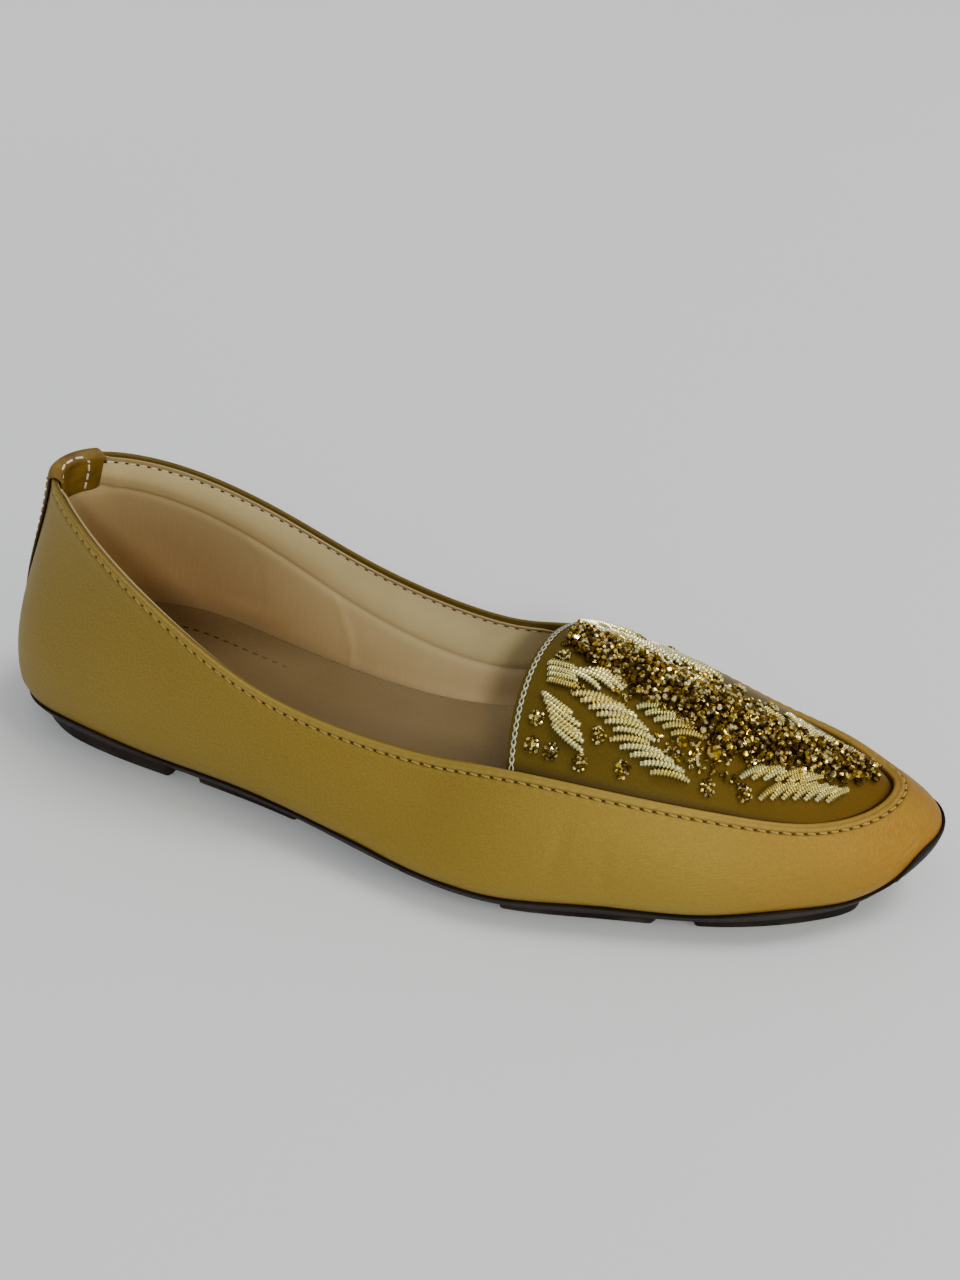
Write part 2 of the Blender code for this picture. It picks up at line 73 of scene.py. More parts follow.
Section = namedtuple(
    "Section",
    "name along outer inner rim top_along top_half top_shift top belly lean under",
)
SECTIONS = (
    Section("heel_back", 0.000, 0.000, 0.000, 0.100, 0.049, 0.000, 0.000, 1.000, 0.052, 0.056, 0.35),
    Section("heel_corner", 0.024, 0.232, 0.224, 0.100, 0.072, 0.120, -0.005, 0.995, 0.052, 0.050, 0.35),
    Section("heel_side", 0.094, 0.336, 0.329, 0.100, 0.131, 0.239, -0.012, 0.927, 0.050, 0.032, 0.35),
    Section("seat", 0.227, 0.388, 0.295, 0.100, 0.247, 0.350, -0.017, 0.732, 0.038, 0.030, 0.35),
    Section("waist", 0.384, 0.447, 0.215, 0.095, 0.382, 0.380, -0.022, 0.532, 0.028, 0.035, 0.35),
    Section("arch", 0.510, 0.529, 0.240, 0.085, 0.520, 0.368, -0.020, 0.472, 0.028, 0.045, 0.30),
    Section("throat", 0.602, 0.548, 0.370, 0.083, 0.598, 0.378, -0.006, 0.497, 0.028, 0.068, 0.22),
    Section("inner_joint", 0.714, 0.471, 0.453, 0.090, 0.719, 0.340, 0.004, 0.474, 0.028, 0.080, 0.20),
    Section("toes", 0.816, 0.385, 0.429, 0.095, 0.816, 0.270, 0.018, 0.419, 0.026, 0.082, 0.18),
    Section("toe_side", 0.902, 0.256, 0.356, 0.107, 0.887, 0.202, 0.041, 0.388, 0.024, 0.082, 0.15),
    Section("toe_corner", 0.955, 0.126, 0.252, 0.140, 0.928, 0.107, 0.070, 0.372, 0.024, 0.082, 0.13),
    Section("toe_tip", 0.993, -0.085, 0.085, 0.240, 0.945, 0.000, 0.092, 0.385, 0.026, 0.082, 0.12),
)
LAST_ROW = len(SECTIONS) - 1
THROAT_ROW, TOE_SIDE_ROW = 6, 9
COLLAR_END = 5.3  # the row where the collar starts to turn into the ridge round the apron
print("sections:", len(SECTIONS), "for a sole", round(LENGTH * 1000), "mm long")

# %% [markdown]
# ## The last
# One closed line runs round the shoe: from the middle of the heel, along the outer side to the
# toe tip, and back along the inner side. A smooth curve through the sections says, for each
# position on that line, where the sole's edge and the top edge are and how full the wall is.
# A cubic curve from foot to top then gives the wall's face.


# %% The line round the shoe
def periodic_spline(at, values):
    """A smooth closed curve through values, whose last row repeats the first. Gives a function
    of position that returns (point, direction)."""
    spans = np.diff(at)
    count = len(spans)
    slopes = np.diff(values, axis=0) / spans[:, None]
    matrix = np.zeros((count, count))
    for i in range(count):
        matrix[i, i - 1] += spans[i - 1]
        matrix[i, i] += 2 * (spans[i - 1] + spans[i])
        matrix[i, (i + 1) % count] += spans[i]
    bends = np.linalg.solve(matrix, 6 * (slopes - np.roll(slopes, 1, axis=0)))

    def curve(position):
        position = np.mod(position, at[-1])
        i = np.clip(np.searchsorted(at, position, side="right") - 1, 0, count - 1)
        step = (position - at[i])[:, None]
        span = spans[i][:, None]
        first, last = bends[i], bends[(i + 1) % count]
        slope = slopes[i] - span * (2 * first + last) / 6
        rate = (last - first) / span
        point = values[i] + step * (slope + step * (first / 2 + step * rate / 6))
        return point, slope + step * (first + step * rate / 2)

    return curve


def column(name):
    """One column of the table."""
    return np.array([getattr(section, name) for section in SECTIONS])


def unit(vectors):
    """The same directions with length 1."""
    return vectors / np.linalg.norm(vectors, axis=-1, keepdims=True)


def run_along(points):
    """How far along a line each of its points is."""
    return np.concatenate([[0.0], np.cumsum(np.linalg.norm(np.diff(points, axis=0), axis=1))])


def read_table():
    """(positions of the sections round the shoe, curve of all the settings)."""
    along = column("along") * LENGTH - HEEL_REST
    top_along = column("top_along") * LENGTH - HEEL_REST
    half, shift = column("top_half") * BALL_WIDTH, column("top_shift") * BALL_WIDTH
    rim, top = column("rim") * BACK_HEIGHT, column("top") * BACK_HEIGHT
    belly, lean = column("belly") * BALL_WIDTH, column("lean") * BALL_WIDTH
    both = [
        (along, along),
        (-column("outer") * BALL_WIDTH, column("inner") * BALL_WIDTH),
        (rim, rim),
        (top_along, top_along),
        (shift - half, shift + half),
        (top, top),
        (belly, belly),
        (lean, lean),
        (column("under"), column("under")),
    ]
    values = np.stack([np.concatenate([a, b[-2:0:-1], a[:1]]) for a, b in both], axis=1)
    values[-1] = values[0]
    at = run_along(values[:, :2])
    return at, periodic_spline(at, values)


SECTION_AT, LOOP = read_table()
ROUND_LENGTH = SECTION_AT[-1]
TIP_AT = SECTION_AT[LAST_ROW]
UP = np.array([0.0, 0.0, 1.0])
print("round the sole:", round(ROUND_LENGTH * 1000), "mm")

# %% [markdown]
# A piece asks for columns at its own positions on the line. A column knows its point on the
# sole's edge and on the top edge, and the curve between them. The foot of that curve turns in
# under the shoe. The small helpers find the bed that the foot stands on, the facing position on
# the other side, and whether a position is along the collar or along the apron.


# %% The surfaces of the last
def smoothstep(value):
    """0 below 0, 1 above 1, and an even S in between."""
    value = np.clip(value, 0, 1)
    return value * value * (3 - 2 * value)


def cubic(share, first, second, third, last):
    """Points of a Bezier curve at a share from 0 to 1 of its way."""
    rest = 1 - share
    inner = 3 * share * rest**2 * second + 3 * share**2 * rest * third
    return rest**3 * first + inner + share**3 * last


def outwards(direction):
    """Level unit vectors that point out of the shoe, from directions round it."""
    return unit(np.stack([direction[:, 1], -direction[:, 0], np.zeros(len(direction))], axis=1))


class Columns:
    """What the table says at some positions round the shoe."""

    def __init__(self, positions):
        value, direction = LOOP(np.asarray(positions, float))
        self.out = outwards(direction)
        self.top_out = outwards(direction[:, 3:5])
        self.sole_edge = value[:, :3]
        self.top = value[:, 3:6] + self.top_out * WALL_AT_TOP / 2
        self.feather = self.sole_edge - (LIP_THICK + GAP) * self.out - UP * LIP_HEIGHT
        self.belly, self.lean, self.under = (value[:, i : i + 1] for i in (6, 7, 8))

    def wall(self, share):
        """The outer face of the wall, from the feather line (0) to the top edge (1)."""
        share = np.broadcast_to(share, (len(self.top),))[:, None]
        foot = self.feather + self.out * TUCK
        height = (self.top - foot) * UP
        low = foot + self.out * self.belly + BELLY_AT * height
        high = self.top + self.out * self.lean - self.under * height
        face = cubic(share, foot, low, high, self.top)
        under = 1 - np.clip((face[:, 2:] - foot[:, 2:]) / TUCK_HEIGHT, 0, 1)
        return face - self.out * TUCK * under**2


HALF = Columns(np.linspace(0, TIP_AT, 90))


def on_bed(columns, inset, above):
    """Points inside the feather line by inset, at a height above the bed that the foot is on."""
    points = columns.feather - columns.out * inset
    points[:, 2] = np.interp(points[:, 0], HALF.feather[:, 0], HALF.feather[:, 2]) + above
    return points


def row_of(positions):
    """Which section a position is at, as a number from 0 at the heel to 22 back at the heel."""
    return np.interp(np.mod(positions, ROUND_LENGTH), SECTION_AT, np.arange(len(SECTION_AT)))


def across(positions):
    """The positions that face these on the other side of the shoe."""
    return np.interp(2 * LAST_ROW - row_of(positions), np.arange(len(SECTION_AT)), SECTION_AT)


def frontness(positions):
    """0 along the collar and 1 along the apron."""
    row = row_of(positions)
    return smoothstep((np.minimum(row, 2 * LAST_ROW - row) - COLLAR_END) / (THROAT_ROW - COLLAR_END))


print("toe tip at", np.round(HALF.sole_edge[-1] * 1000, 1), "mm")

# %% [markdown]
# ## The wall by depth
# Stitches and folds follow the top edge at a set depth, so pieces ask for the wall's face by
# its depth below the edge. The face is sampled finely and looked up.


# %% Look up the wall's face
class Wall:
    """The outer face at some positions, by depth below the top edge."""

    samples = np.linspace(0, 1, 100)
    reach = 0.0015  # how far ahead and behind the face is looked at for its normal

    def __init__(self, positions):
        self.columns = Columns(positions)
        shares = 1 - self.samples
        ahead, behind = Columns(positions + self.reach), Columns(positions - self.reach)
        self.face = np.stack([self.columns.wall(share) for share in shares], axis=1)
        level = np.stack([ahead.wall(share) - behind.wall(share) for share in shares], axis=1)
        self.normal = unit(np.cross(level, -np.gradient(self.face, axis=1)))
        steps = np.linalg.norm(np.diff(self.face, axis=1), axis=2)
        self.depth = np.concatenate([np.zeros((len(steps), 1)), np.cumsum(steps, axis=1)], axis=1)
        self.height = self.depth[:, -1]
        self.front = frontness(positions)

    def at(self, depth, lift=0.0):
        """Points at a depth below the top edge, lifted off the face."""
        depth = np.clip(np.broadcast_to(depth, self.height.shape), 0, self.height)
        i = np.clip((self.depth <= depth[:, None]).sum(axis=1) - 1, 0, self.depth.shape[1] - 2)
        rows = np.arange(len(depth))
        span = self.depth[rows, i + 1] - self.depth[rows, i]
        part = ((depth - self.depth[rows, i]) / span)[:, None]
        point = self.face[rows, i] * (1 - part) + self.face[rows, i + 1] * part
        normal = self.normal[rows, i] * (1 - part) + self.normal[rows, i + 1] * part
        return point + normal * np.broadcast_to(lift, depth.shape)[:, None]


def even_positions(count, depth=0.003, start=0.0, end=ROUND_LENGTH):
    """Positions that are evenly spaced along the line at that depth, both ends included, and
    how far along that line each is."""
    fine = np.linspace(start, end, 1600)
    along = run_along(Wall(fine).at(depth))
    even = np.linspace(0, along[-1], count)
    return np.interp(even, along, fine), even


print("round the top seam:", round(even_positions(3)[1][-1] * 1000), "mm")

# %% [markdown]
# ## Laying a sheet
# Leather is cut flat and pulled over the last. The same is done here: a flat grid primitive is
# added, and its vertices are moved onto the last's surface. Its UV map then holds real metres
# along and across the sheet, so that a weave or a stitch hole keeps its size. A sheet that
# closes on itself has its meeting edges merged.


# %% Tools for sheets
def only(*pieces):
    """Selects these objects alone, and makes the first one active."""
    bpy.ops.object.select_all(action="DESELECT")
    for piece in pieces:
        piece.select_set(True)
    bpy.context.view_layer.objects.active = pieces[0]


def flat_sizes(points):
    """Metres along the rows and down the columns of a grid, for its UV map."""
    along = np.linalg.norm(np.diff(points, axis=1), axis=2)
    down = np.linalg.norm(np.diff(points, axis=0), axis=2)
    along = np.concatenate([np.zeros((len(points), 1)), np.cumsum(along, axis=1)], axis=1)
    down = np.concatenate([np.zeros((1, points.shape[1])), np.cumsum(down, axis=0)], axis=0)
    return np.stack([along, down], axis=2)


def lay_sheet(name, points, flat=None):
    """A grid primitive with its vertices at points[row, column], and flat sizes as its UV map."""
    rows, columns = points.shape[:2]
    flat = flat_sizes(points) if flat is None else flat
    bpy.ops.mesh.primitive_grid_add(x_subdivisions=columns - 1, y_subdivisions=rows - 1, size=1)
    piece = bpy.context.object
    piece.name = piece.data.name = name
    place = np.zeros(len(piece.data.vertices) * 3)
    piece.data.vertices.foreach_get("co", place)
    place = place.reshape(-1, 3)
    i = np.rint((place[:, 0] + 0.5) * (columns - 1)).astype(int)
    j = np.rint((place[:, 1] + 0.5) * (rows - 1)).astype(int)
    piece.data.vertices.foreach_set("co", points[j, i].ravel())
    corner = np.zeros(len(piece.data.loops), int)
    piece.data.loops.foreach_get("vertex_index", corner)
    piece.data.uv_layers[0].data.foreach_set("uv", flat[j, i][corner].ravel())
    piece.data.update()
    return piece


print("tools: only, flat_sizes, lay_sheet")

# %% [markdown]
# A sheet still has to be closed, given its thickness, and joined to others. Each finished piece
# gets smooth shading, its finish and its place in the assembly, and the CAD parts that it stands
# for are hidden.


# %% Tools that finish a piece
def close_up(piece, nearest=0.00002):
    """Merges vertices that meet, and turns all faces outwards."""
    only(piece)
    bpy.ops.object.mode_set(mode="EDIT")
    bpy.ops.mesh.select_all(action="SELECT")
    bpy.ops.mesh.remove_doubles(threshold=nearest)
    bpy.ops.mesh.normals_make_consistent(inside=False)
    bpy.ops.object.mode_set(mode="OBJECT")


def modify(piece, kind, **settings):
    """Adds a modifier, sets it and applies it."""
    only(piece)
    modifier = piece.modifiers.new(kind.lower(), kind)
    for name, value in settings.items():
        setattr(modifier, name, value)
    bpy.ops.object.modifier_apply(modifier=modifier.name)


def thicken(piece, thickness, offset, soft=0.0003):
    """Gives a sheet its thickness, and rounds its cut edges."""
    modify(piece, "SOLIDIFY", thickness=thickness, offset=offset)
    modify(piece, "BEVEL", width=soft, segments=2, limit_method="ANGLE", angle_limit=1.0)


def join(name, pieces):
    """Joins pieces into the first one, and names it."""
    only(*pieces)
    bpy.ops.object.join()
    piece = bpy.context.object
    piece.name = piece.data.name = name
    return piece


def finish_piece(piece, material, slot, *stands_for, sharp=50):
    """Smooth shading, finish, place in the assembly, and hides the CAD parts that it stands for."""
    only(piece)
    bpy.ops.object.shade_smooth_by_angle(angle=math.radians(sharp))
    piece.data.materials.clear()
    piece.data.materials.append(FINISHES[material])
    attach(piece, "root")
    if stands_for:
        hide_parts(*stands_for)
    triangles = sum(len(face.vertices) - 2 for face in piece.data.polygons)
    print(f"{piece.name}: {triangles} triangles, {np.round(np.array(piece.dimensions) * 1000, 1)} mm")


def store(piece, name, values):
    """Keeps a value for each vertex, or one for them all, which a finish can read as a mark."""
    mark = piece.data.attributes.new(name, "FLOAT", "POINT")
    values = np.asarray(values, np.float32).ravel()
    mark.data.foreach_set("value", np.resize(values, len(mark.data)))


print("tools: close_up, modify, thicken, join, finish_piece, store")

# %% [markdown]
# ## Finishes
# Each finish is one Principled shader with nodes behind it. A small class wraps a node's output,
# so that arithmetic on it adds Math nodes and the patterns read as formulas. What is the same
# all over a surface is set on the shader's own socket, and what varies feeds its colour,
# roughness or normal. Coordinates are the object's own, in metres, or the sheet's UV map.


# %% Tools for finishes
FINISHES = {}


class Wire:
    """A node's output. Arithmetic on it adds Math nodes."""

    def __init__(self, finish, socket):
        self.finish, self.socket = finish, socket

    def maths(self, operation, *values):
        sockets = dict(enumerate(values))
        return self.finish.node("Math", {"operation": operation}, sockets)

    def __add__(self, other):
        return self.maths("ADD", self, other)

    def __sub__(self, other):
        return self.maths("SUBTRACT", self, other)

    def __rsub__(self, other):
        return self.maths("SUBTRACT", other, self)

    def __mul__(self, other):
        return self.maths("MULTIPLY", self, other)

    __radd__ = __add__
    __rmul__ = __mul__

    def between(self, low, high):
        """0 below low, 1 above high, and even in between."""
        sockets = {0: self, 1: low, 2: high, 3: 0.0, 4: 1.0}
        return self.finish.node("MapRange", {"clamp": True}, sockets)


print("tool: Wire")

# %% [markdown]
# The finish itself makes its nodes by type, with their settings first and then their sockets. A
# pattern's size is given in metres.


# %% Build up a finish
class Finish:
    """A material that is built up on one Principled shader."""

    def __init__(self, name, **constants):
        self.material = FINISHES[name] = bpy.data.materials.new(name)
        self.material.use_nodes = True
        self.tree = self.material.node_tree
        self.shader = self.tree.nodes["Principled BSDF"]
        for socket, value in constants.items():
            words = [word if word.isupper() else word.title() for word in socket.split("_")]
            self.shader.inputs[" ".join(words)].default_value = value

    def plug(self, socket, value):
        if isinstance(value, Wire):
            self.tree.links.new(value.socket, socket)
        elif isinstance(value, tuple) and len(value) == 3 and socket.type == "RGBA":
            socket.default_value = (*value, 1.0)
        else:
            socket.default_value = value

    def node(self, kind, settings, sockets, output=0):
        """Any node: its settings first, then the values or links of its sockets."""
        node = self.tree.nodes.new("ShaderNode" + kind)
        for name, value in settings.items():
            if name == "stops":
                ramp = node.color_ramp
                while len(ramp.elements) < len(value):
                    ramp.elements.new(0.5)
                for element, (position, colour) in zip(ramp.elements, value):
                    element.position = position
                    element.color = (*colour, 1.0)
            else:
                setattr(node, name, value)
        for name, value in sockets.items():
            self.plug(node.inputs[name], value)
        return Wire(self, node.outputs[output])

    def place(self):
        return self.node("TexCoord", {}, {}, "Object")

    def flat(self):
        return self.node("TexCoord", {}, {}, "UV")

    def axis(self, vector, name):
        return self.node("SeparateXYZ", {}, {"Vector": vector}, name)

    def stretched(self, vector, scale):
        return self.node("Mapping", {}, {"Vector": vector, "Scale": scale})

    def noise(self, vector, size, detail=2.0):
        """Soft random values from about 0.3 to 0.7, with blobs about that size in metres."""
        return self.node("TexNoise", {}, {"Vector": vector, "Scale": 1 / size, "Detail": detail})

    def bands(self, vector, direction, pitch, wobble=0.0):
        """Even bands from 0 to 1, one each pitch in metres."""
        settings = {"wave_type": "BANDS", "bands_direction": direction}
        sockets = {"Vector": vector, "Scale": math.pi / 10 / pitch, "Distortion": wobble}
        return self.node("TexWave", settings, sockets, "Fac")

    def weave(self, vector, across, along, wobble=0.5):
        """Threads that cross, each way at its own pitch in metres."""
        return self.bands(vector, "X", across, wobble) + self.bands(vector, "Y", along, wobble)

    def mark(self, name):
        """A value that the piece's vertices carry."""
        return self.node("Attribute", {"attribute_name": name}, {}, "Fac")

    def ramp(self, value, *stops):
        return self.node("ValToRGB", {"stops": stops}, {"Fac": value})

    def blend(self, share, first, second):
        """One colour mixed into another by a share from 0 to 1."""
        return self.node("Mix", {"data_type": "RGBA"}, {0: share, 6: first, 7: second}, 2)

    def paint(self, colour, roughness=None, height=None, depth=0.0001, metallic=None):
        """Colour, roughness, metal and relief to the shader. depth is the relief in metres."""
        self.plug(self.shader.inputs["Base Color"], colour)
        if roughness is not None:
            self.plug(self.shader.inputs["Roughness"], roughness)
        if metallic is not None:
            self.plug(self.shader.inputs["Metallic"], metallic)
        if height is not None:
            relief = self.node("Bump", {}, {"Height": height, "Distance": depth})
            self.plug(self.shader.inputs["Normal"], relief)
        print(self.material.name, "has", len(self.tree.nodes), "nodes")


print("tool: Finish")


# %% [markdown]
# ### Mustard satin of the wall
# The wall is a thin satin-faced synthetic. It is greener round the heel and warmer at the toe,
# and its colour also gets brighter towards the toe, a painted highlight of the light on that side.
# Its threads make a fine even grain that shimmers a little. A mark from the mesh makes the folds
# paler where they are rubbed. It also darkens them with painted shade in the groove of the seam and
# on the inner side of the fold, and makes the wall darker towards its foot.


# %% Mustard satin
def mustard_satin():
    finish = Finish("mustard_satin", metallic=0.40, specular_IOR_level=0.20)
    place, flat = finish.place(), finish.flat()
    along = finish.axis(place, "X").between(-HEEL_REST, LENGTH - HEEL_REST)
    # The ramp is greener at the heel and warmer at the toe. It is also brighter towards the toe, a
    # painted highlight of the light on that side.
    colour = finish.ramp(
        along,
        (0.0, (0.215, 0.140, 0.022)),
        (0.30, (0.225, 0.143, 0.015)),
        (0.60, (0.270, 0.172, 0.018)),
        (0.80, (0.310, 0.198, 0.024)),
        (0.93, (0.312, 0.152, 0.009)),
        (1.0, (0.325, 0.145, 0.007)),
    )
    clouds = finish.noise(place, 0.030, 3.0)
    colour = finish.blend(clouds.between(0.35, 0.70) * 0.35, colour, (0.27, 0.182, 0.028))
    threads = finish.noise(finish.stretched(flat, (1, 0.35, 1)), 0.00028, 1.0)
    colour = finish.blend(threads.between(0.35, 0.65) * 0.30, colour, (0.44, 0.310, 0.065))
    worn = finish.mark("worn")
    # Above one half the mark makes the satin paler where it is rubbed. Below one half it darkens it:
    # painted shade in the seam's groove and inside the fold, and darker towards the wall's foot.
    colour = finish.blend(worn.between(0.5, 1.0) * 0.35, colour, (0.50, 0.365, 0.110))
    colour = finish.blend((1 - worn).between(0.5, 1.0) * 0.75, colour, (0.085, 0.052, 0.012))
    weave = finish.weave(flat, 0.00042, 0.00036)
    finish.paint(
        colour,
        roughness=0.40 + clouds * 0.12 + threads * 0.10,
        height=threads + weave * 0.2,
        depth=0.00010,
    )


mustard_satin()

# %% [markdown]
# ### Satin of the apron
# The apron is the same kind of satin in a darker olive mustard. It is warmer towards the toe,
# and drawn a little tighter, so its grain is finer and its sheen is stronger.


# %% Apron satin
def apron_satin():
    finish = Finish("apron_satin", metallic=0.22, specular_IOR_level=0.08)
    place, flat = finish.place(), finish.flat()
    along = finish.axis(place, "X").between(0.118, 0.208)
    colour = finish.ramp(
        along,
        (0.0, (0.094, 0.062, 0.006)),
        (0.6, (0.094, 0.054, 0.002)),
        (1.0, (0.115, 0.053, 0.0015)),
    )
    clouds = finish.noise(place, 0.011, 3.0)
    colour = finish.blend(clouds.between(0.40, 0.72) * 0.45, colour, (0.118, 0.072, 0.004))
    threads = finish.noise(finish.stretched(flat, (0.3, 1, 1)), 0.00025, 1.0)
    colour = finish.blend(threads.between(0.35, 0.65) * 0.25, colour, (0.175, 0.115, 0.014))
    # The mark darkens the edges where the apron goes under the fold's ridge, as painted shade.
    worn = finish.mark("worn")
    colour = finish.blend((1 - worn).between(0.5, 1.0) * 0.8, colour, (0.030, 0.018, 0.006))
    finish.paint(
        colour,
        roughness=0.34 + clouds * 0.14 + threads * 0.08,
        height=threads + clouds * 0.8,
        depth=0.00007,
    )


apron_satin()

# %% [markdown]
# ### Lining and sock
# The lining is a thin pinkish-beige synthetic with a fine upright thread and a satin glow. It is
# darker and browner low down. Its top edge, just under the fold, and the grooves of its seams are
# darkened as painted shade. The sock on the insole is the same stuff, laid flat, browner, and
# darker towards the heel.


# %% Lining and sock
def beige_lining():
    finish = Finish("beige_lining", metallic=0.06, specular_IOR_level=0.30)
    place, flat = finish.place(), finish.flat()
    low = finish.axis(flat, "Y").between(0.008, 0.052)
    # The ramp is pale at the top and darker and browner low down.
    colour = finish.ramp(
        low,
        (0.0, (0.74, 0.600, 0.290)),
        (0.16, (0.67, 0.520, 0.245)),
        (0.26, (0.53, 0.385, 0.175)),
        (1.0, (0.45, 0.245, 0.075)),
    )
    clouds = finish.noise(place, 0.018, 3.0)
    colour = finish.blend(clouds.between(0.40, 0.75) * 0.4, colour, (0.52, 0.360, 0.150))
    upright = finish.noise(finish.stretched(flat, (1, 0.06, 1)), 0.0005, 2.0)
    colour = finish.blend(upright.between(0.35, 0.70) * 0.12, colour, (0.70, 0.56, 0.32))
    # Painted shade: the lining's top edge, just under the fold, is darkened.
    lip = 1 - finish.axis(flat, "Y").between(0.0006, 0.0024)
    colour = finish.blend(lip * 0.8, colour, (0.30, 0.200, 0.070))
    # The mark darkens the seam and the band's lower groove as painted shade. It also darkens the lowest
    # rows above the insole.
    worn = finish.mark("worn")
    colour = finish.blend((1 - worn).between(0.5, 1.0) * 0.6, colour, (0.16, 0.10, 0.045))
    weave = finish.weave(flat, 0.00050, 0.00050, 0.6)
    finish.paint(
        colour,
        roughness=0.44 + clouds * 0.12,
        height=upright * 0.5 + weave * 0.3,
        depth=0.00007,
    )


def sock_fabric():
    finish = Finish("sock_fabric", specular_IOR_level=0.20)
    place, flat = finish.place(), finish.flat()
    clouds = finish.noise(place, 0.030, 3.0)
    along = finish.axis(place, "X").between(-0.03, 0.09)
    # The sock is darker and browner towards the heel.
    colour = finish.blend(along, (0.122, 0.068, 0.022), (0.225, 0.155, 0.066))
    colour = finish.blend(clouds.between(0.40, 0.70) * 0.5, colour, (0.160, 0.095, 0.030))
    threads = finish.noise(finish.stretched(flat, (1, 0.2, 1)), 0.0004, 2.0)
    colour = finish.blend(threads.between(0.35, 0.70) * 0.25, colour, (0.22, 0.155, 0.070))
    weave = finish.weave(flat, 0.0006, 0.0006)
    finish.paint(
        colour,
        roughness=0.50 + clouds * 0.15,
        height=threads + weave * 0.4,
        depth=0.0001,
    )


beige_lining()
sock_fabric()

# %% [markdown]
# ### Strap leather and sole rubber
# The strap is a mustard-brown leather with a soft gloss, and cut edges that are nearly black.
# The sole is very dark brown rubber with a fine cast grain, and dusty where it meets the floor.


# %% Strap leather and sole rubber
def strap_leather():
    finish = Finish("strap_leather", specular_IOR_level=0.25)
    place = finish.place()
    clouds = finish.noise(place, 0.006, 4.0)
    grain = finish.node("TexVoronoi", {}, {"Vector": place, "Scale": 2200.0}, "Distance")
    colour = finish.ramp(
        clouds,
        (0.30, (0.120, 0.060, 0.004)),
        (0.55, (0.215, 0.122, 0.010)),
        (0.75, (0.300, 0.175, 0.018)),
    )
    worn = finish.mark("worn")
    colour = finish.blend((1 - worn).between(0.4, 1.0), colour, (0.028, 0.015, 0.006))
    finish.paint(colour, roughness=0.36 + clouds * 0.20, height=grain, depth=0.00006)


def sole_rubber():
    finish = Finish("sole_rubber", specular_IOR_level=0.12)
    place = finish.place()
    grain = finish.noise(place, 0.0006, 3.0)
    clouds = finish.noise(place, 0.014, 3.0)
    dust = 1 - finish.axis(place, "Z").between(0.0, 0.0025)
    colour = finish.blend(clouds.between(0.40, 0.70), (0.010, 0.006, 0.004), (0.022, 0.013, 0.009))
    colour = finish.blend(dust * clouds.between(0.45, 0.70) * 0.4, colour, (0.12, 0.10, 0.08))
    finish.paint(colour, roughness=0.36 + grain * 0.30, height=grain, depth=0.00012)


strap_leather()
sole_rubber()

# %% [markdown]
# ### Threads, bullion and crystal
# Sewing thread is twisted, so its colour runs in fine slanted bands. Bullion is a coil of gilt
# wire. Its colour has soft patches of painted highlight in pale gold, and painted shade between
# the ribs and under the cord. Each cord and each crystal carries a mark "tint", so that the colour
# changes from one to the next, from greenish silver to gold on the cords and from dark amber to
# pale gold on the crystals. Facets stay flat and polished, so they catch the lights one by one, and
# the crystals' colour adds painted glints and painted dark reflections in small cells.


# %% Threads, bullion and crystal
def thread(name, dark, light, metallic=0.0):
    finish = Finish(name, metallic=metallic, specular_IOR_level=0.10)
    place = finish.place()
    twist = finish.bands(place, "DIAGONAL", 0.00045)
    tufts = finish.noise(place, 0.0012, 2.0)
    colour = finish.blend(twist * 0.6 + tufts * 0.4, dark, light)
    finish.paint(colour, roughness=0.40 + twist * 0.2, height=twist, depth=0.00005)


def gilt_bullion():
    finish = Finish("gilt_bullion", metallic=0.85)
    place = finish.place()
    tint = finish.mark("tint")
    colour = finish.ramp(
        tint,
        (0.0, (0.88, 0.69, 0.180)),
        (0.35, (0.95, 0.80, 0.260)),
        (0.70, (1.00, 0.91, 0.390)),
        (1.0, (0.97, 0.97, 0.530)),
    )
    clouds = finish.noise(place, 0.0022, 2.0)
    # Painted highlights: soft patches of pale gold.
    colour = finish.blend(clouds.between(0.40, 0.65) * 0.35, colour, (1.00, 0.97, 0.62))
    # Painted shade between the ribs and on the cord's lower side, from the mark low.
    low = finish.mark("low")
    colour = finish.blend(low.between(0.20, 0.75) * 0.95, colour, (0.090, 0.052, 0.007))
    finish.paint(colour, roughness=0.16 + clouds * 0.16, height=clouds, depth=0.00004)


def amber_crystal():
    finish = Finish("amber_crystal", specular_IOR_level=0.35)
    place = finish.place()
    tint = finish.mark("tint")
    colour = finish.ramp(
        tint,
        (0.0, (0.050, 0.024, 0.002)),
        (0.30, (0.270, 0.150, 0.005)),
        (0.60, (0.720, 0.460, 0.020)),
        (0.85, (0.960, 0.720, 0.120)),
        (1.0, (1.000, 0.880, 0.360)),
    )
    cloud = finish.noise(place, 0.0009, 2.0)
    # Cells of a pattern paint some facets dark, as painted dark reflections, and others bright, as
    # painted glints.
    reflection_cells = finish.node("TexVoronoi", {}, {"Vector": place, "Scale": 1150.0}, "Color")
    reflection_cells = finish.axis(reflection_cells, "X")
    colour = finish.blend((1 - reflection_cells).between(0.35, 0.60) * 0.85, colour, (0.045, 0.020, 0.002))
    # Painted glints.
    glint = reflection_cells.between(0.78, 0.86) * tint.between(0.10, 0.55)
    colour = finish.blend(glint * 0.9, colour, (1.000, 0.900, 0.450))
    finish.paint(colour, roughness=0.06 + cloud * 0.10, height=cloud, depth=0.00003,
                 metallic=0.70 + tint * 0.25)


thread("gold_thread", (0.240, 0.150, 0.028), (0.540, 0.380, 0.100))
thread("pale_thread", (0.620, 0.520, 0.340), (0.930, 0.850, 0.650))
thread("chain_thread", (0.330, 0.330, 0.190), (0.750, 0.770, 0.580), 0.3)
thread("dark_thread", (0.030, 0.016, 0.005), (0.075, 0.044, 0.012))
gilt_bullion()
amber_crystal()
print("finishes:", ", ".join(FINISHES))

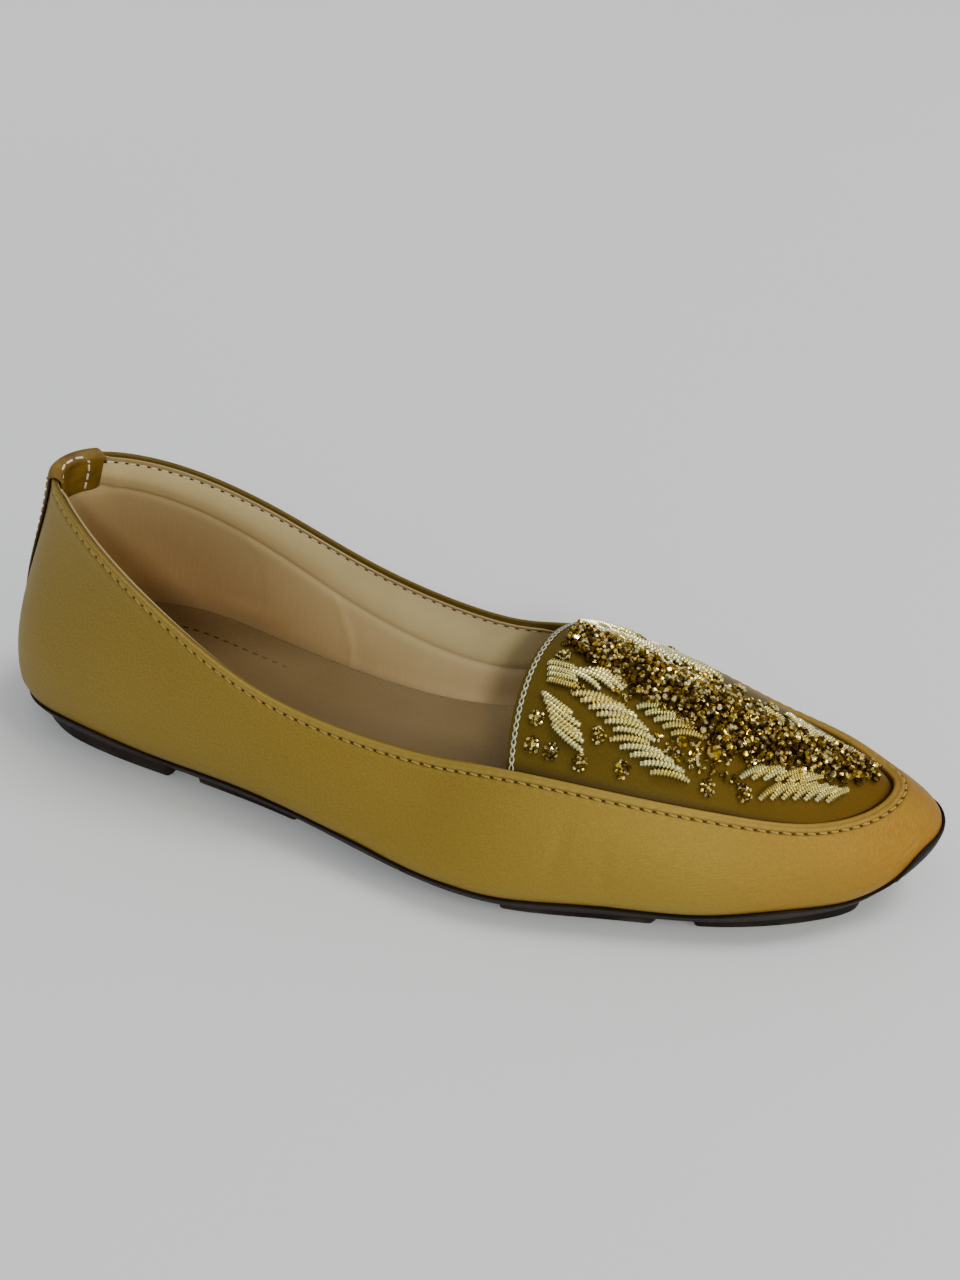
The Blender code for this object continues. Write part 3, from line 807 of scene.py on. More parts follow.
# %% [markdown]
# ## The wall
# One band of satin goes all round, from under the foot up to the top edge, where it is folded
# inwards. The thread of the seam pulls a groove in a little below the fold, so the fold stands
# up as a soft roll with a pucker at each stitch. The sheet is laid with five columns to a
# stitch, out, over the fold and back down its inner face, so it is one closed piece of leather.

# %% Seam sizes and relief
SEAM_DEPTH = 0.0017
STITCH_PITCH = 0.0031
LEATHER = 0.0009
RIDGE_WIDTH = 0.0014
FOLD_WIDTH, FOLD_WIDER = 0.0011, 0.0008  # along the collar, and how much more on the outer side
FOLD_DROP, RIDGE_DROP = 0.0003, 0.0006  # how far the inner edge is below the outer one
FOLD_FULL, RIDGE_FULL = 0.30, 0.62
STRAP_HALF, STRAP_CLEAR = 0.0105, 0.003  # half the strap's width, and the flat strip beside it
ROLL, RIDGE_ROLL = 0.00018, 0.00016
GROOVE, GROOVE_WIDTH = 0.00036, 0.00038
SWELL, SWELL_BELOW, SWELL_WIDTH = 0.00016, 0.0014, 0.0009
PUCKER, PUCKER_ABOVE, PUCKER_WIDTH = 0.00011, 0.0002, 0.0011
BED_MARGIN = 0.006  # how far the wall is turned in under the foot

STITCHES = 2 * round(even_positions(3)[1][-1] / STITCH_PITCH / 2)
WALL_AT, WALL_ALONG = even_positions(5 * STITCHES + 1, SEAM_DEPTH)
AROUND = WALL_ALONG[-1]
PITCH = AROUND / STITCHES
print(STITCHES, "stitches round the edge, each", round(PITCH * 1000, 2), "mm")

Crease = namedtuple("Crease", "name at depth length width sink turn")
WALL_CREASES = (
    Crease("outer_flex", 0.335, 0.017, 0.016, 0.0034, 0.00022, 8),
    Crease("outer_flex_low", 0.360, 0.022, 0.014, 0.0030, 0.00018, -14),
    Crease("outer_long", 0.275, 0.015, 0.050, 0.0045, 0.00016, 88),
    Crease("outer_heel", 0.075, 0.034, 0.030, 0.0060, 0.00020, 70),
    Crease("toe_outer", 0.455, 0.010, 0.009, 0.0016, 0.00013, 55),
    Crease("toe_outer_low", 0.470, 0.013, 0.008, 0.0014, 0.00012, 40),
    Crease("toe_inner", 0.555, 0.011, 0.009, 0.0016, 0.00012, -50),
    Crease("inner_flex", 0.655, 0.018, 0.016, 0.0034, 0.00022, -8),
    Crease("inner_long", 0.730, 0.015, 0.045, 0.0045, 0.00016, 92),
    Crease("inner_heel", 0.925, 0.034, 0.030, 0.0060, 0.00020, -70),
)


def bump(distance, width):
    """1 at a line and fading away from it on both sides."""
    return np.exp(-((distance / width) ** 2))


def creases_at(creases, share, depth):
    """How far some creases sink a sheet, at a share round the shoe and a depth."""
    sink = np.zeros(np.broadcast(share, depth).shape)
    for crease in creases:
        turn = math.radians(crease.turn)
        aside = ((share - crease.at + 0.5) % 1 - 0.5) * AROUND
        down = depth - crease.depth
        over = aside * math.cos(turn) + down * math.sin(turn)
        on = -aside * math.sin(turn) + down * math.cos(turn)
        across_it = 1.4 * bump(over, crease.width / 2**0.5) - 0.4 * bump(over, crease.width * 2**0.5)
        sink += crease.sink * across_it * bump(on, crease.length / 2)
    return sink


def from_heel(along):
    """How far a place on the seam is from the middle of the heel, either way round."""
    return np.minimum(np.mod(along, AROUND), AROUND - np.mod(along, AROUND))


def under_strap(along):
    """1 under the heel strap and 0 away from it."""
    return 1 - smoothstep((from_heel(along) - STRAP_HALF + 0.002) / STRAP_CLEAR)


def seam_relief(depth, along, front):
    """The roll of the folded edge, the stitch groove below it, and the puckers."""
    below = depth - SEAM_DEPTH
    round_edge = np.sin(np.pi * np.clip(depth / SEAM_DEPTH, 0, 1)) ** 1.2
    roll = (ROLL + RIDGE_ROLL * front) * round_edge
    groove = -GROOVE * bump(below, GROOVE_WIDTH)
    swell = SWELL * bump(below - SWELL_BELOW, SWELL_WIDTH)
    pucker = PUCKER * np.cos(2 * np.pi * along / PITCH) * bump(below + PUCKER_ABOVE, PUCKER_WIDTH)
    return (roll + groove + swell + pucker) * (1 - under_strap(along))


# %% [markdown]
# The rows of the wall go from the margin under the foot up the outer face, over the fold and down
# the back of the leather. Rows crowd together round the seam, where the relief is.

# %% Lay the wall
WALL = Wall(WALL_AT)
EDGE_DEPTHS = 0.001 * np.array(
    [0, 0.25, 0.5, 0.8, 1.1, 1.35, 1.55, 1.7, 1.82, 1.95, 2.1, 2.3, 2.6, 3.1, 3.8, 4.8, 6.5, 9.5]
)
LOW_SHARES = 1 - (1 - np.linspace(0, 1, 17)[1:]) ** 1.25


def fold_rows(wall, width, drop, lift, count, full=RIDGE_FULL):
    """Rows from the top of the outer face, over the fold and to the top of its inner face."""
    start = wall.at(0, lift)
    rising = unit(start - wall.at(0.0006, lift))
    end = wall.at(0) - wall.columns.top_out * width - UP * drop
    first, second = start + rising * full * width, end + UP * (0.45 * width + 0.3 * drop)
    return [cubic(t, start, first, second, end) for t in np.linspace(0, 1, count + 1)[1:]]


def wall_points():
    """(points, marks of wear and painted shade) of the wall's sheet, a row at a time."""
    front = WALL.front
    rows, worn = [], []
    share = WALL_ALONG / AROUND

    def add(points, value):
        rows.append(points)
        worn.append(np.broadcast_to(value, (len(points),)))

    add(on_bed(WALL.columns, BED_MARGIN, 0), 0.5)
    add(WALL.columns.feather - WALL.columns.out * 0.0010, 0.5)
    start = EDGE_DEPTHS[-1]
    for part in LOW_SHARES[::-1]:
        depth = start + (WALL.height - start) * part
        # The lowest rows get darker towards the foot of the wall, where it turns in to the sole.
        darker_at_foot = 0.30 * smoothstep((part - 0.93) / 0.07)
        add(WALL.at(depth, -creases_at(WALL_CREASES, share, depth)), 0.5 - darker_at_foot)
    for depth in EDGE_DEPTHS[::-1]:
        relief = seam_relief(depth, WALL_ALONG, front)
        sink = creases_at(WALL_CREASES, share, np.full(len(share), depth))
        rubbed = 0.35 * bump(depth - 0.0008, 0.0006)
        # The groove of the seam is darkened as painted shade.
        groove = 0.45 * bump(depth - SEAM_DEPTH, 0.00035)
        add(WALL.at(depth, relief - sink), 0.5 + rubbed - groove)
    outer = np.clip(np.sin(2 * np.pi * share), 0, 1) ** 0.7
    width, drop, full = (
        (collar * (1 - front) + ridge * front)[:, None]
        for collar, ridge in (
            (FOLD_WIDTH + FOLD_WIDER * outer, RIDGE_WIDTH),
            (FOLD_DROP, RIDGE_DROP),
            (FOLD_FULL, RIDGE_FULL),
        )
    )
    for number, points in enumerate(fold_rows(WALL, width, drop, 0.0, 7, full)):
        # The first fold rows are paler where the edge is rubbed. The later ones get darker as the fold
        # turns in, as painted shade, much more along the collar.
        darker = 0.42 * (number > 1) * (1 - front)
        add(points, 0.7 - 0.06 * number - darker)
    # Painted shade: the back of the leather below the fold is darkened.
    for step in (0.0005, 0.0006, 0.0006):
        add(rows[-1] - UP * step, 0.15)
    low_depths = (start + (WALL.height - start) * part for part in (0.25, 0.5, 0.75, 0.9, 0.97))
    for depth in (0.0034, 0.006, 0.010, *low_depths):
        add(WALL.at(depth, -LEATHER), 0.5)
    for inset in (0.0022, BED_MARGIN):
        add(on_bed(WALL.columns, inset, LEATHER), 0.5)
    add(rows[0], 0.5)
    points = np.array(rows)
    points[:, -1] = points[:, 0]
    return points, np.array(worn)


wall_grid, wall_tone_and_shade = wall_points()
wall = lay_sheet("wall", wall_grid)
store(wall, "worn", wall_tone_and_shade)
close_up(wall)
finish_piece(wall, "mustard_satin", "satin_leather", "upper")

# %% [markdown]
# ## The lining
# The lining is glued inside the wall. Its collar band holds a strip of foam, so it swells
# between the topline seam and a second row of stitching, and a soft groove marks that row. The
# edge of the stiff heel counter shows through as a curved ridge on each side. Under the strap
# and low at the heel the thin lining wrinkles. It is laid like the wall, from its top edge down
# its visible face, under the insole and back up behind.

# %% Lining sizes and relief
BAND_TOP, BAND_DEPTH = 0.0023, 0.0160
BAND_SWELL = 0.0008
BAND_RAISED, RAISED_REACH = 0.0052, 0.055  # how much narrower the band is at the heel
LINING = 0.00065
PRESSED, PRESSED_HALF = 0.0009, 0.0125  # the lining is flattened under the strap's inner end
BED_TUCK = 0.0012  # how far above the bed the visible face stops
COUNTER_SHARES = (0.157, 0.843)  # where the counter ends, round the shoe
COUNTER_BOW, COUNTER_DEEP = 0.0098, 0.036
COUNTER_RIDGE, COUNTER_STEP = 0.00042, 0.00018
LINING_CREASES = (
    Crease("heel_fold_a", 0.012, 0.024, 0.018, 0.0016, 0.00035, 6),
    Crease("heel_fold_b", 0.985, 0.023, 0.016, 0.0014, 0.00032, -5),
    Crease("heel_fold_c", 0.968, 0.026, 0.020, 0.0018, 0.00036, -12),
    Crease("heel_fold_d", 0.030, 0.028, 0.020, 0.0018, 0.00030, 14),
    Crease("far_low", 0.900, 0.040, 0.030, 0.0024, 0.00030, -62),
    Crease("far_lower", 0.875, 0.040, 0.026, 0.0022, 0.00026, -50),
    Crease("far_waist", 0.800, 0.026, 0.020, 0.0024, 0.00018, -30),
    Crease("near_low", 0.100, 0.040, 0.030, 0.0024, 0.00030, 62),
    Crease("near_waist", 0.215, 0.024, 0.020, 0.0024, 0.00018, 30),
)
LINING_DEPTHS = 0.001 * np.array(
    [0.7, 1.0, 1.3, 1.55, 1.75, 1.95, 2.15, 2.5, 3.2, 4.4, 6.0, 8.2, 10.4, 12.2, 13.8, 14.9, 15.6,
     16.0, 16.4, 17.1, 18.2, 20]
)
LINING_AT, LINING_ALONG = even_positions(441, SEAM_DEPTH)
INSIDE = Wall(LINING_AT)


def lining_relief(depth, along, front):
    """How far the lining's face stands in from its seat on the wall."""
    share = along / AROUND
    below = depth - BAND_DEPTH
    part = np.clip((depth - BAND_TOP) / (BAND_DEPTH - BAND_TOP), 0, 1)
    band = BAND_SWELL * np.sin(np.pi * part) ** 0.8
    groove = 0.00022 * bump(below, 0.0009)
    seam = 0.00022 * bump(depth - SEAM_DEPTH, 0.0004)
    relief = (band - groove - seam) * (1 - front) * (1 - under_strap(along))
    low = smoothstep(below / 0.002)
    bow = COUNTER_BOW * np.sin(np.pi * np.clip(below / COUNTER_DEEP, 0, 1))
    for end in COUNTER_SHARES:
        toward_toe = 1 if end < 0.5 else -1
        off = (share - end) * AROUND * toward_toe - bow
        relief += COUNTER_RIDGE * bump(off, 0.0009) * low
        relief += COUNTER_STEP * smoothstep(-off / 0.001 + 0.5) * low * (np.abs(off) < 0.03)
    return relief - creases_at(LINING_CREASES, share, depth)


print("the lining has", len(LINING_CREASES), "creases and", len(LINING_DEPTHS), "set depths")

# %% [markdown]
# Along the collar the lining's rows follow the wall at a depth. Along the apron the top ones run
# in to the apron's own lining. The low rows are spread between the last set depth and the bed, and
# the sheet turns in under the insole before it goes back up.


# %% Lay the lining
def lining_points():
    """(points, marks of tone and painted shade, depths) of the lining's sheet, a row at a time."""
    front, height = INSIDE.front, INSIDE.height
    ring = INSIDE.at(0) - INSIDE.columns.top_out * (RIDGE_WIDTH + GAP) - UP * 0.0034
    raised = BAND_RAISED * bump(from_heel(LINING_ALONG), RAISED_REACH)
    pressed = PRESSED * (1 - smoothstep((from_heel(LINING_ALONG) - PRESSED_HALF) / 0.004))
    rows, worn, down = [], [], []

    def thick(depth):
        return WALL_AT_SOLE + (WALL_AT_TOP - WALL_AT_SOLE) * (1 - depth / height)

    def add(points, value, depth):
        rows.append(points)
        worn.append(np.broadcast_to(value, (len(points),)))
        down.append(np.broadcast_to(depth, (len(points),)))

    def face(depth, value, extra=0.0):
        """One row of the visible face. Along the apron its top runs in to the apron's lining."""
        depth = np.broadcast_to(depth, (len(front),))
        inside = thick(depth) + lining_relief(depth, LINING_ALONG, front) - extra
        inside -= pressed * (1 - smoothstep((depth - BAND_DEPTH) / 0.004))
        in_band = smoothstep((depth - 0.003) / 0.011) * (1 - smoothstep((depth - 0.017) / 0.025))
        collar = INSIDE.at(depth - raised * in_band, -inside)
        behind = 1 - smoothstep(depth / 0.006)[:, None]
        toe = ring * behind + INSIDE.at(np.maximum(depth, 0.004), -inside) * (1 - behind)
        add(collar * (1 - front[:, None]) + toe * front[:, None], value, depth)

    def low_face(part, value, extra=0.0):
        """A row of the face between the last of the set depths (0) and the bed (1)."""
        start = LINING_DEPTHS[-1]
        face(start + (height - BED_TUCK - start) * part, value, extra)

    for depth, share in ((0.0003, 1), (0.0001, 0.45), (0.0002, 0.15)):
        face(depth, 0.5, share * LINING)
    for depth in LINING_DEPTHS:
        # The seam and the band's lower groove are darkened as painted shade.
        seam, band = bump(depth - SEAM_DEPTH, 0.0003), bump(depth - BAND_DEPTH, 0.0006)
        face(depth, 0.5 - 0.4 * seam - 0.18 * band)
    # The lowest rows get darker towards the insole.
    for part in np.linspace(0, 1, 15)[1:]:
        low_face(part, 0.5 - 0.35 * smoothstep((part - 0.6) / 0.3))
    for inset, above in ((0.0034, 0.0021), (0.0070, 0.0021), (0.0070, 0.0014), (0.0030, 0.0014)):
        add(on_bed(INSIDE.columns, inset, above), 0.2, height)
    for part in (0.9, 0.6, 0.3, 0.0):
        low_face(part, 0.5, 1.2 * LINING)
    for depth in (0.014, 0.008, 0.0045, 0.0025, 0.0012):
        face(depth, 0.5, LINING + (BAND_SWELL if depth > 0.004 else 0) * 1.1)
    add(rows[0], 0.5, 0.0)
    points = np.array(rows)
    points[:, -1] = points[:, 0]
    return points, np.array(worn), np.array(down)


lining_grid, lining_tone_and_shade, lining_down = lining_points()
lining_flat = np.stack(np.broadcast_arrays(LINING_ALONG[None, :], lining_down), axis=2)
lining = lay_sheet("lining", lining_grid, lining_flat)
store(lining, "worn", lining_tone_and_shade)
close_up(lining)
finish_piece(lining, "beige_lining", "sock_lining")

# %% [markdown]
# ## The apron and its lining
# The apron is one panel, stretched between the fold on its sides and the arch of the throat. A
# grid is filled in between the four edges: each inner point leans on all of them, and the middle
# swells a little over the foot. Its edge dips where it goes under the fold, and its back edge
# is turned over a lining of the same shape.


# %% Lay the apron
def seam_point(wall, drop, inset):
    """Points inside the fold, at a drop below the top edge and an inset from it."""
    return wall.at(0) - wall.columns.top_out * inset - UP * drop


def apron_patch(drop, inset, rows, columns, back=0.0):
    """Points of a panel inside the fold: rows from the throat to the toe, columns from the outer
    side to the inner side."""
    s = np.linspace(0, 1, rows)
    t = np.linspace(0, 1, columns)
    throat_at, side_at = SECTION_AT[THROAT_ROW], SECTION_AT[TOE_SIDE_ROW]
    sides = throat_at + (side_at - throat_at) * s
    half = side_at + (TIP_AT - side_at) * (1 - np.abs(2 * t - 1))
    ends = np.where(t <= 0.5, half, across(half))
    outer = seam_point(Wall(sides), drop, inset)
    inner = seam_point(Wall(across(sides)), drop, inset)
    toe = seam_point(Wall(ends), drop, inset)
    toe[0], toe[-1] = outer[-1], inner[-1]
    t, s = t[None, :, None], s[:, None, None]
    arch = (1 - (2 * t[0] - 1) ** 2) * np.array([back, 0, INSTEP_RISE])
    sweep = 4 * t[0] * (1 - t[0]) ** 2 * np.array([THROAT_SWEEP, 0, 0])
    throat = (1 - t[0]) * outer[0] + t[0] * inner[0] + arch - sweep
    grid = (1 - t) * outer[:, None] + t * inner[:, None] + (1 - s) * throat[None] + s * toe[None]
    grid -= (1 - s) * ((1 - t) * throat[0] + t * throat[-1]) + s * ((1 - t) * toe[0] + t * toe[-1])
    return grid + APRON_FULLNESS * 16 * s * (1 - s) * t * (1 - t) * UP


APRON_SINK = 0.0008
APRON_ROWS, APRON_COLUMNS = 111, 81
APRON_LONG, APRON_WIDE = 0.088, 0.055  # about, for how far a place is from the edges
APRON_THICK, BACKING_THICK, BACKING_SUNK = 0.0010, 0.0012, 0.0025
apron_grid = apron_patch(APRON_SINK, RIDGE_WIDTH + GAP, APRON_ROWS, APRON_COLUMNS)
to_throat = np.linspace(0, 1, APRON_ROWS)[:, None] * APRON_LONG
to_side = (0.5 - np.abs(np.linspace(0, 1, APRON_COLUMNS) - 0.5))[None, :] * APRON_WIDE
to_seam = np.minimum(APRON_LONG - to_throat, to_side)
apron_grid -= 0.0004 * (1 - smoothstep(to_seam / 0.0016))[:, :, None] * UP
apron_grid -= 0.0003 * (1 - smoothstep(to_throat / 0.0010))[:, :, None] * UP
apron = lay_sheet("apron_panel", apron_grid)
# Painted shade near the side and toe edges, where the apron goes under the ridge.
store(apron, "worn", 0.5 - 0.45 * (1 - smoothstep(to_seam / 0.0022)))
close_up(apron)
thicken(apron, APRON_THICK, -1)
finish_piece(apron, "apron_satin", "apron_satin", "apron")


def sunk(grid, depth):
    """A grid moved along its own normals, away from the face."""
    return grid - depth * unit(np.cross(np.gradient(grid, axis=0), np.gradient(grid, axis=1)))


backing_grid = apron_patch(APRON_SINK, RIDGE_WIDTH + GAP, 61, 41, back=-0.0005)
backing_grid = sunk(backing_grid, BACKING_SUNK)
backing = lay_sheet("apron_lining", backing_grid)
# A slightly darker mark all over: painted shade under the apron.
store(backing, "worn", 0.45)
close_up(backing)
thicken(backing, BACKING_THICK, 1)
finish_piece(backing, "beige_lining", "sock_lining")

# %% [markdown]
# ## The insole
# Board, foam and sock are one slab that fills the bottom of the shoe. The sock turns up a little
# all round where it meets the lining, and a foot has pressed the heel and the ball down. The
# grid runs from the outer edge to the inner edge and from the heel to the toe, and its two
# ends are merged to points.

# %% Lay the insole
SOCK_HEIGHT = WALL_AT_SOLE + GAP + 0.0032
TURN_UP, HEEL_PRESSED, BALL_PRESSED = 0.0011, 0.0006, 0.0004


def insole_layer(inset, above, rows=97, columns=41):
    """Points of the slab's upper or lower face, at an inset and a height above the bed."""
    at = np.linspace(0, 1, rows) ** 1.15 * TIP_AT
    outer, inner = on_bed(Columns(at), inset, 0), on_bed(Columns(across(at)), inset, 0)
    t = (1 - np.cos(np.linspace(0, math.pi, columns))) / 2
    grid = outer[:, None] * (1 - t)[None, :, None] + inner[:, None] * t[None, :, None]
    aside = np.abs(2 * t - 1)[None, :]
    pressed = HEEL_PRESSED * bump(grid[:, :, 0] - 0.004, 0.024)
    pressed += BALL_PRESSED * bump(grid[:, :, 0] - 0.128, 0.022)
    shaped = TURN_UP * aside**8 - pressed * (1 - aside**2)
    grid[:, :, 2] += above + shaped * (above > 0.003)
    return grid


insole_top = insole_layer(0.0012, SOCK_HEIGHT)
insole_low = insole_layer(0.0034, WALL_AT_SOLE + GAP)
insole_flat = insole_top[:, :, :2]
edges = [np.concatenate([layer[:, 0], layer[::-1, -1]]) for layer in (insole_low, insole_top)]
insole = join("insole_sock", [
    lay_sheet("insole_top", insole_top, insole_flat),
    lay_sheet("insole_board", insole_low[:, ::-1], insole_flat),
    lay_sheet("insole_side", np.array(edges)),
])
close_up(insole, 0.00003)
finish_piece(insole, "sock_fabric", "sock_lining", "insole")

# %% [markdown]
# ## The heel strap
# A strip of leather covers the back seam. It is cut wider at the collar, folds over it and is
# sewn down inside. Its grid follows the wall up, goes over the fold in an arch and comes down
# the lining. The flat sheet then gets its thickness, and its cut edges are rounded.

# %% Lay the strap
STRAP_HALF_LOW = 0.0070
STRAP_SHIFT = 0.0014
STRAP_INSIDE = 0.0112
STRAP_SEAT = 0.00035
STRAP_THICK = 0.00065
STRAP_OVER = 0.0018  # the wall and the pressed lining that the strap goes over
STRAP_LOW, STRAP_TOP = 0.0042, 0.0014  # above the wall's foot outside, below the edge inside
STRAP_COLUMNS = 33
ROWS_UP, ROWS_OVER, ROWS_DOWN = 30, 10, 16
SCAN_AT = even_positions(241, SEAM_DEPTH, -0.045, 0.045)[0]
SCAN = Wall(SCAN_AT)


def strap_lines():
    """(rows of the strap's seat across the scanned positions, half widths)."""
    lines, halves = [], []
    low = SCAN.height - STRAP_LOW
    for part in np.linspace(1, 0, ROWS_UP):
        lines.append(SCAN.at(low * part, STRAP_SEAT))
        halves.append(STRAP_HALF + (STRAP_HALF_LOW - STRAP_HALF) * part)
    width = STRAP_OVER + STRAP_SEAT
    for points in fold_rows(SCAN, width, 0.0008, STRAP_SEAT, ROWS_OVER):
        lines.append(points)
        halves.append(STRAP_HALF)
    for depth in np.linspace(STRAP_TOP, STRAP_INSIDE, ROWS_DOWN):
        lines.append(SCAN.at(depth, -width))
        tail = np.clip((depth - STRAP_INSIDE + 0.0018) / 0.0018, 0, 1)
        halves.append((STRAP_HALF - 0.0004) - 0.0018 * (1 - math.sqrt(1 - tail**2)))
    return lines, halves


def strap_points():
    """The strap's grid: its lines cut to width, each from the outer to the inner edge."""
    rows = []
    for line, half in zip(*strap_lines()):
        arc = run_along(line)
        middle = np.interp(0.0, SCAN_AT, arc)
        wanted = middle + np.linspace(-half, half, STRAP_COLUMNS) - STRAP_SHIFT
        rows.append(np.stack([np.interp(wanted, arc, line[:, k]) for k in range(3)], axis=1))
    return np.array(rows)


strap_grid = strap_points()
strap = lay_sheet("heel_strap_leather", strap_grid)
rim = np.full(strap_grid.shape[:2], 0.5)
rim[:ROWS_UP, [0, -1]] = 0.1
rim[0] = 0.1
store(strap, "worn", rim)
close_up(strap)
thicken(strap, STRAP_THICK, 1, 0.00022)
finish_piece(strap, "strap_leather", "strap_leather", "heel_strap")

# %% [markdown]
# ## The sole
# The sole is one piece of cast rubber. A thin cup laps the foot of the wall with a waved lip that
# rises beside each lug, and the lugs under it are separate blocks, so that the sole bends easily.
# The cup is a sheet that is closed at both ends. Each lug is a ring of points that is drawn
# down to the floor, with shallow grooves across its face, and a union joins it to the cup.

# %% Lugs and the lip
BASE_THICK, MARGIN = 0.0020, 0.0080
PAD_DRAFT, PAD_BACK, PAD_SINK = 0.0010, 0.0026, 0.0009
LIP_REACH = 0.02
CORNER = ((-0.0012, 0), (-0.0004, 0.00015), (0.0003, 0.0005), (0.0006, 0.0010))  # (out, up)
TOE_LIFT_START, TOE_LIFT_END, TOE_LIFT = 0.92, 0.99, 0.85
TREAD_PITCH, TREAD_DEEP = 0.0042, 0.0005
Pad = namedtuple("Pad", "name start end inset rise")
PADS = (
    Pad("heel", 0.012, 0.222, 0.021, 0.056),
    Pad("seat", 0.250, 0.377, 0.041, 0.018),
    Pad("waist", 0.410, 0.510, 0.052, 0.030),
    Pad("arch", 0.556, 0.580, 0.050, 0.010),
    Pad("ball", 0.610, 0.760, 0.033, 0.024),
    Pad("toes", 0.793, 0.940, 0.038, 0.040),
    Pad("tip", 0.966, 0.990, 0.024, 0.056),
)
SOLE_HALF = np.linspace(0, TIP_AT, 151)
SOLE_AT = np.concatenate([SOLE_HALF, across(SOLE_HALF)[-2::-1]])
SOLE_WALL = Wall(SOLE_AT)


def rise_beside_pads():
    """How much higher the lip is where a lug stands under it."""
    along = (SOLE_WALL.columns.sole_edge[:, 0] + HEEL_REST) / LENGTH
    rise = np.zeros(len(along))
    for pad in PADS:
        middle, half = (pad.start + pad.end) / 2, (pad.end - pad.start) / 2 + LIP_REACH
        off = np.clip(np.abs(along - middle) / half, 0, 1)
        rise += pad.rise * BACK_HEIGHT * (1 - off**2) ** 2
    return rise


def sole_points():
    """Rows of the cup, from its lower corner, up its edge, over the lip and down inside."""
    columns = SOLE_WALL.columns
    height = (columns.top - columns.feather)[:, 2]
    up = (LIP_HEIGHT + rise_beside_pads()) / (1.05 * height)
    rim = np.array([np.interp(1 - a, Wall.samples, d) for a, d in zip(up, SOLE_WALL.depth)])
    to_foot = SOLE_WALL.height - 0.0008 - rim
    floor = columns.feather - UP * GAP
    low = floor - UP * BASE_THICK
    lip, gap = GAP + LIP_THICK, 0.4 * GAP
    return np.array([
        on_bed(columns, 0.0040, -BASE_THICK - GAP),
        *(low + columns.out * out + UP * above for out, above in CORNER),
        *(SOLE_WALL.at(rim + down, lift) for down, lift in (
            (0.8 * to_foot, lip),
            (0.5 * to_foot, lip),
            (0.0006, lip),
            (0.0001, lip),
            (-0.0002, GAP + 0.7 * LIP_THICK),
            (-0.0002, GAP + 0.3 * LIP_THICK),
            (0, gap),
            (0.0012, gap),
        )),
        floor + columns.out * GAP,
        on_bed(columns, MARGIN + GAP, -GAP),
        on_bed(columns, MARGIN + 2 * GAP, WALL_AT_SOLE),
    ])


def pad_ring(inset):
    """The line that far inside the sole's edge, and further in at the back of the heel."""
    columns = SOLE_WALL.columns
    along = (columns.sole_edge[:, 0] + HEEL_REST) / LENGTH
    back = PAD_BACK * (1 - smoothstep(along / 0.10))
    return columns.sole_edge - columns.out * (inset + back[:, None])


def sole_side(inset, x, outer):
    """The y of that line at x, on the outer or the inner side."""
    ring = pad_ring(inset)
    half = ring[: len(SOLE_HALF)] if outer else ring[: len(SOLE_HALF) - 2 : -1]
    return np.interp(x, half[:, 0], half[:, 1])


print(len(PADS), "lugs:", ", ".join(pad.name for pad in PADS))

# %% [markdown]
# A lug has four rings: one sunk in the cup, two that round its lower corner, and its face. Its
# short ends are rounded too. Under the toe the faces lift off the floor with the cup.


# %% Build the lugs
LUG_ROW, LUG_COLUMNS, LUG_ROUND = 0.00055, 41, 0.0016


def strip_grid(outer, inner, columns):
    """A grid of points from one line to the line that faces it."""
    t = np.linspace(0, 1, columns)[None, :, None]
    return outer[:, None] * (1 - t) + inner[:, None] * t


def tread(x, y, width):
    """How deep the shallow grooves of a lug's face are."""
    wave = np.abs((x + 0.35 * np.abs(y)) / TREAD_PITCH % 1 - 0.5)
    return TREAD_DEEP * smoothstep((0.16 - wave) / 0.06) * smoothstep(width / 0.0030 - 0.6)


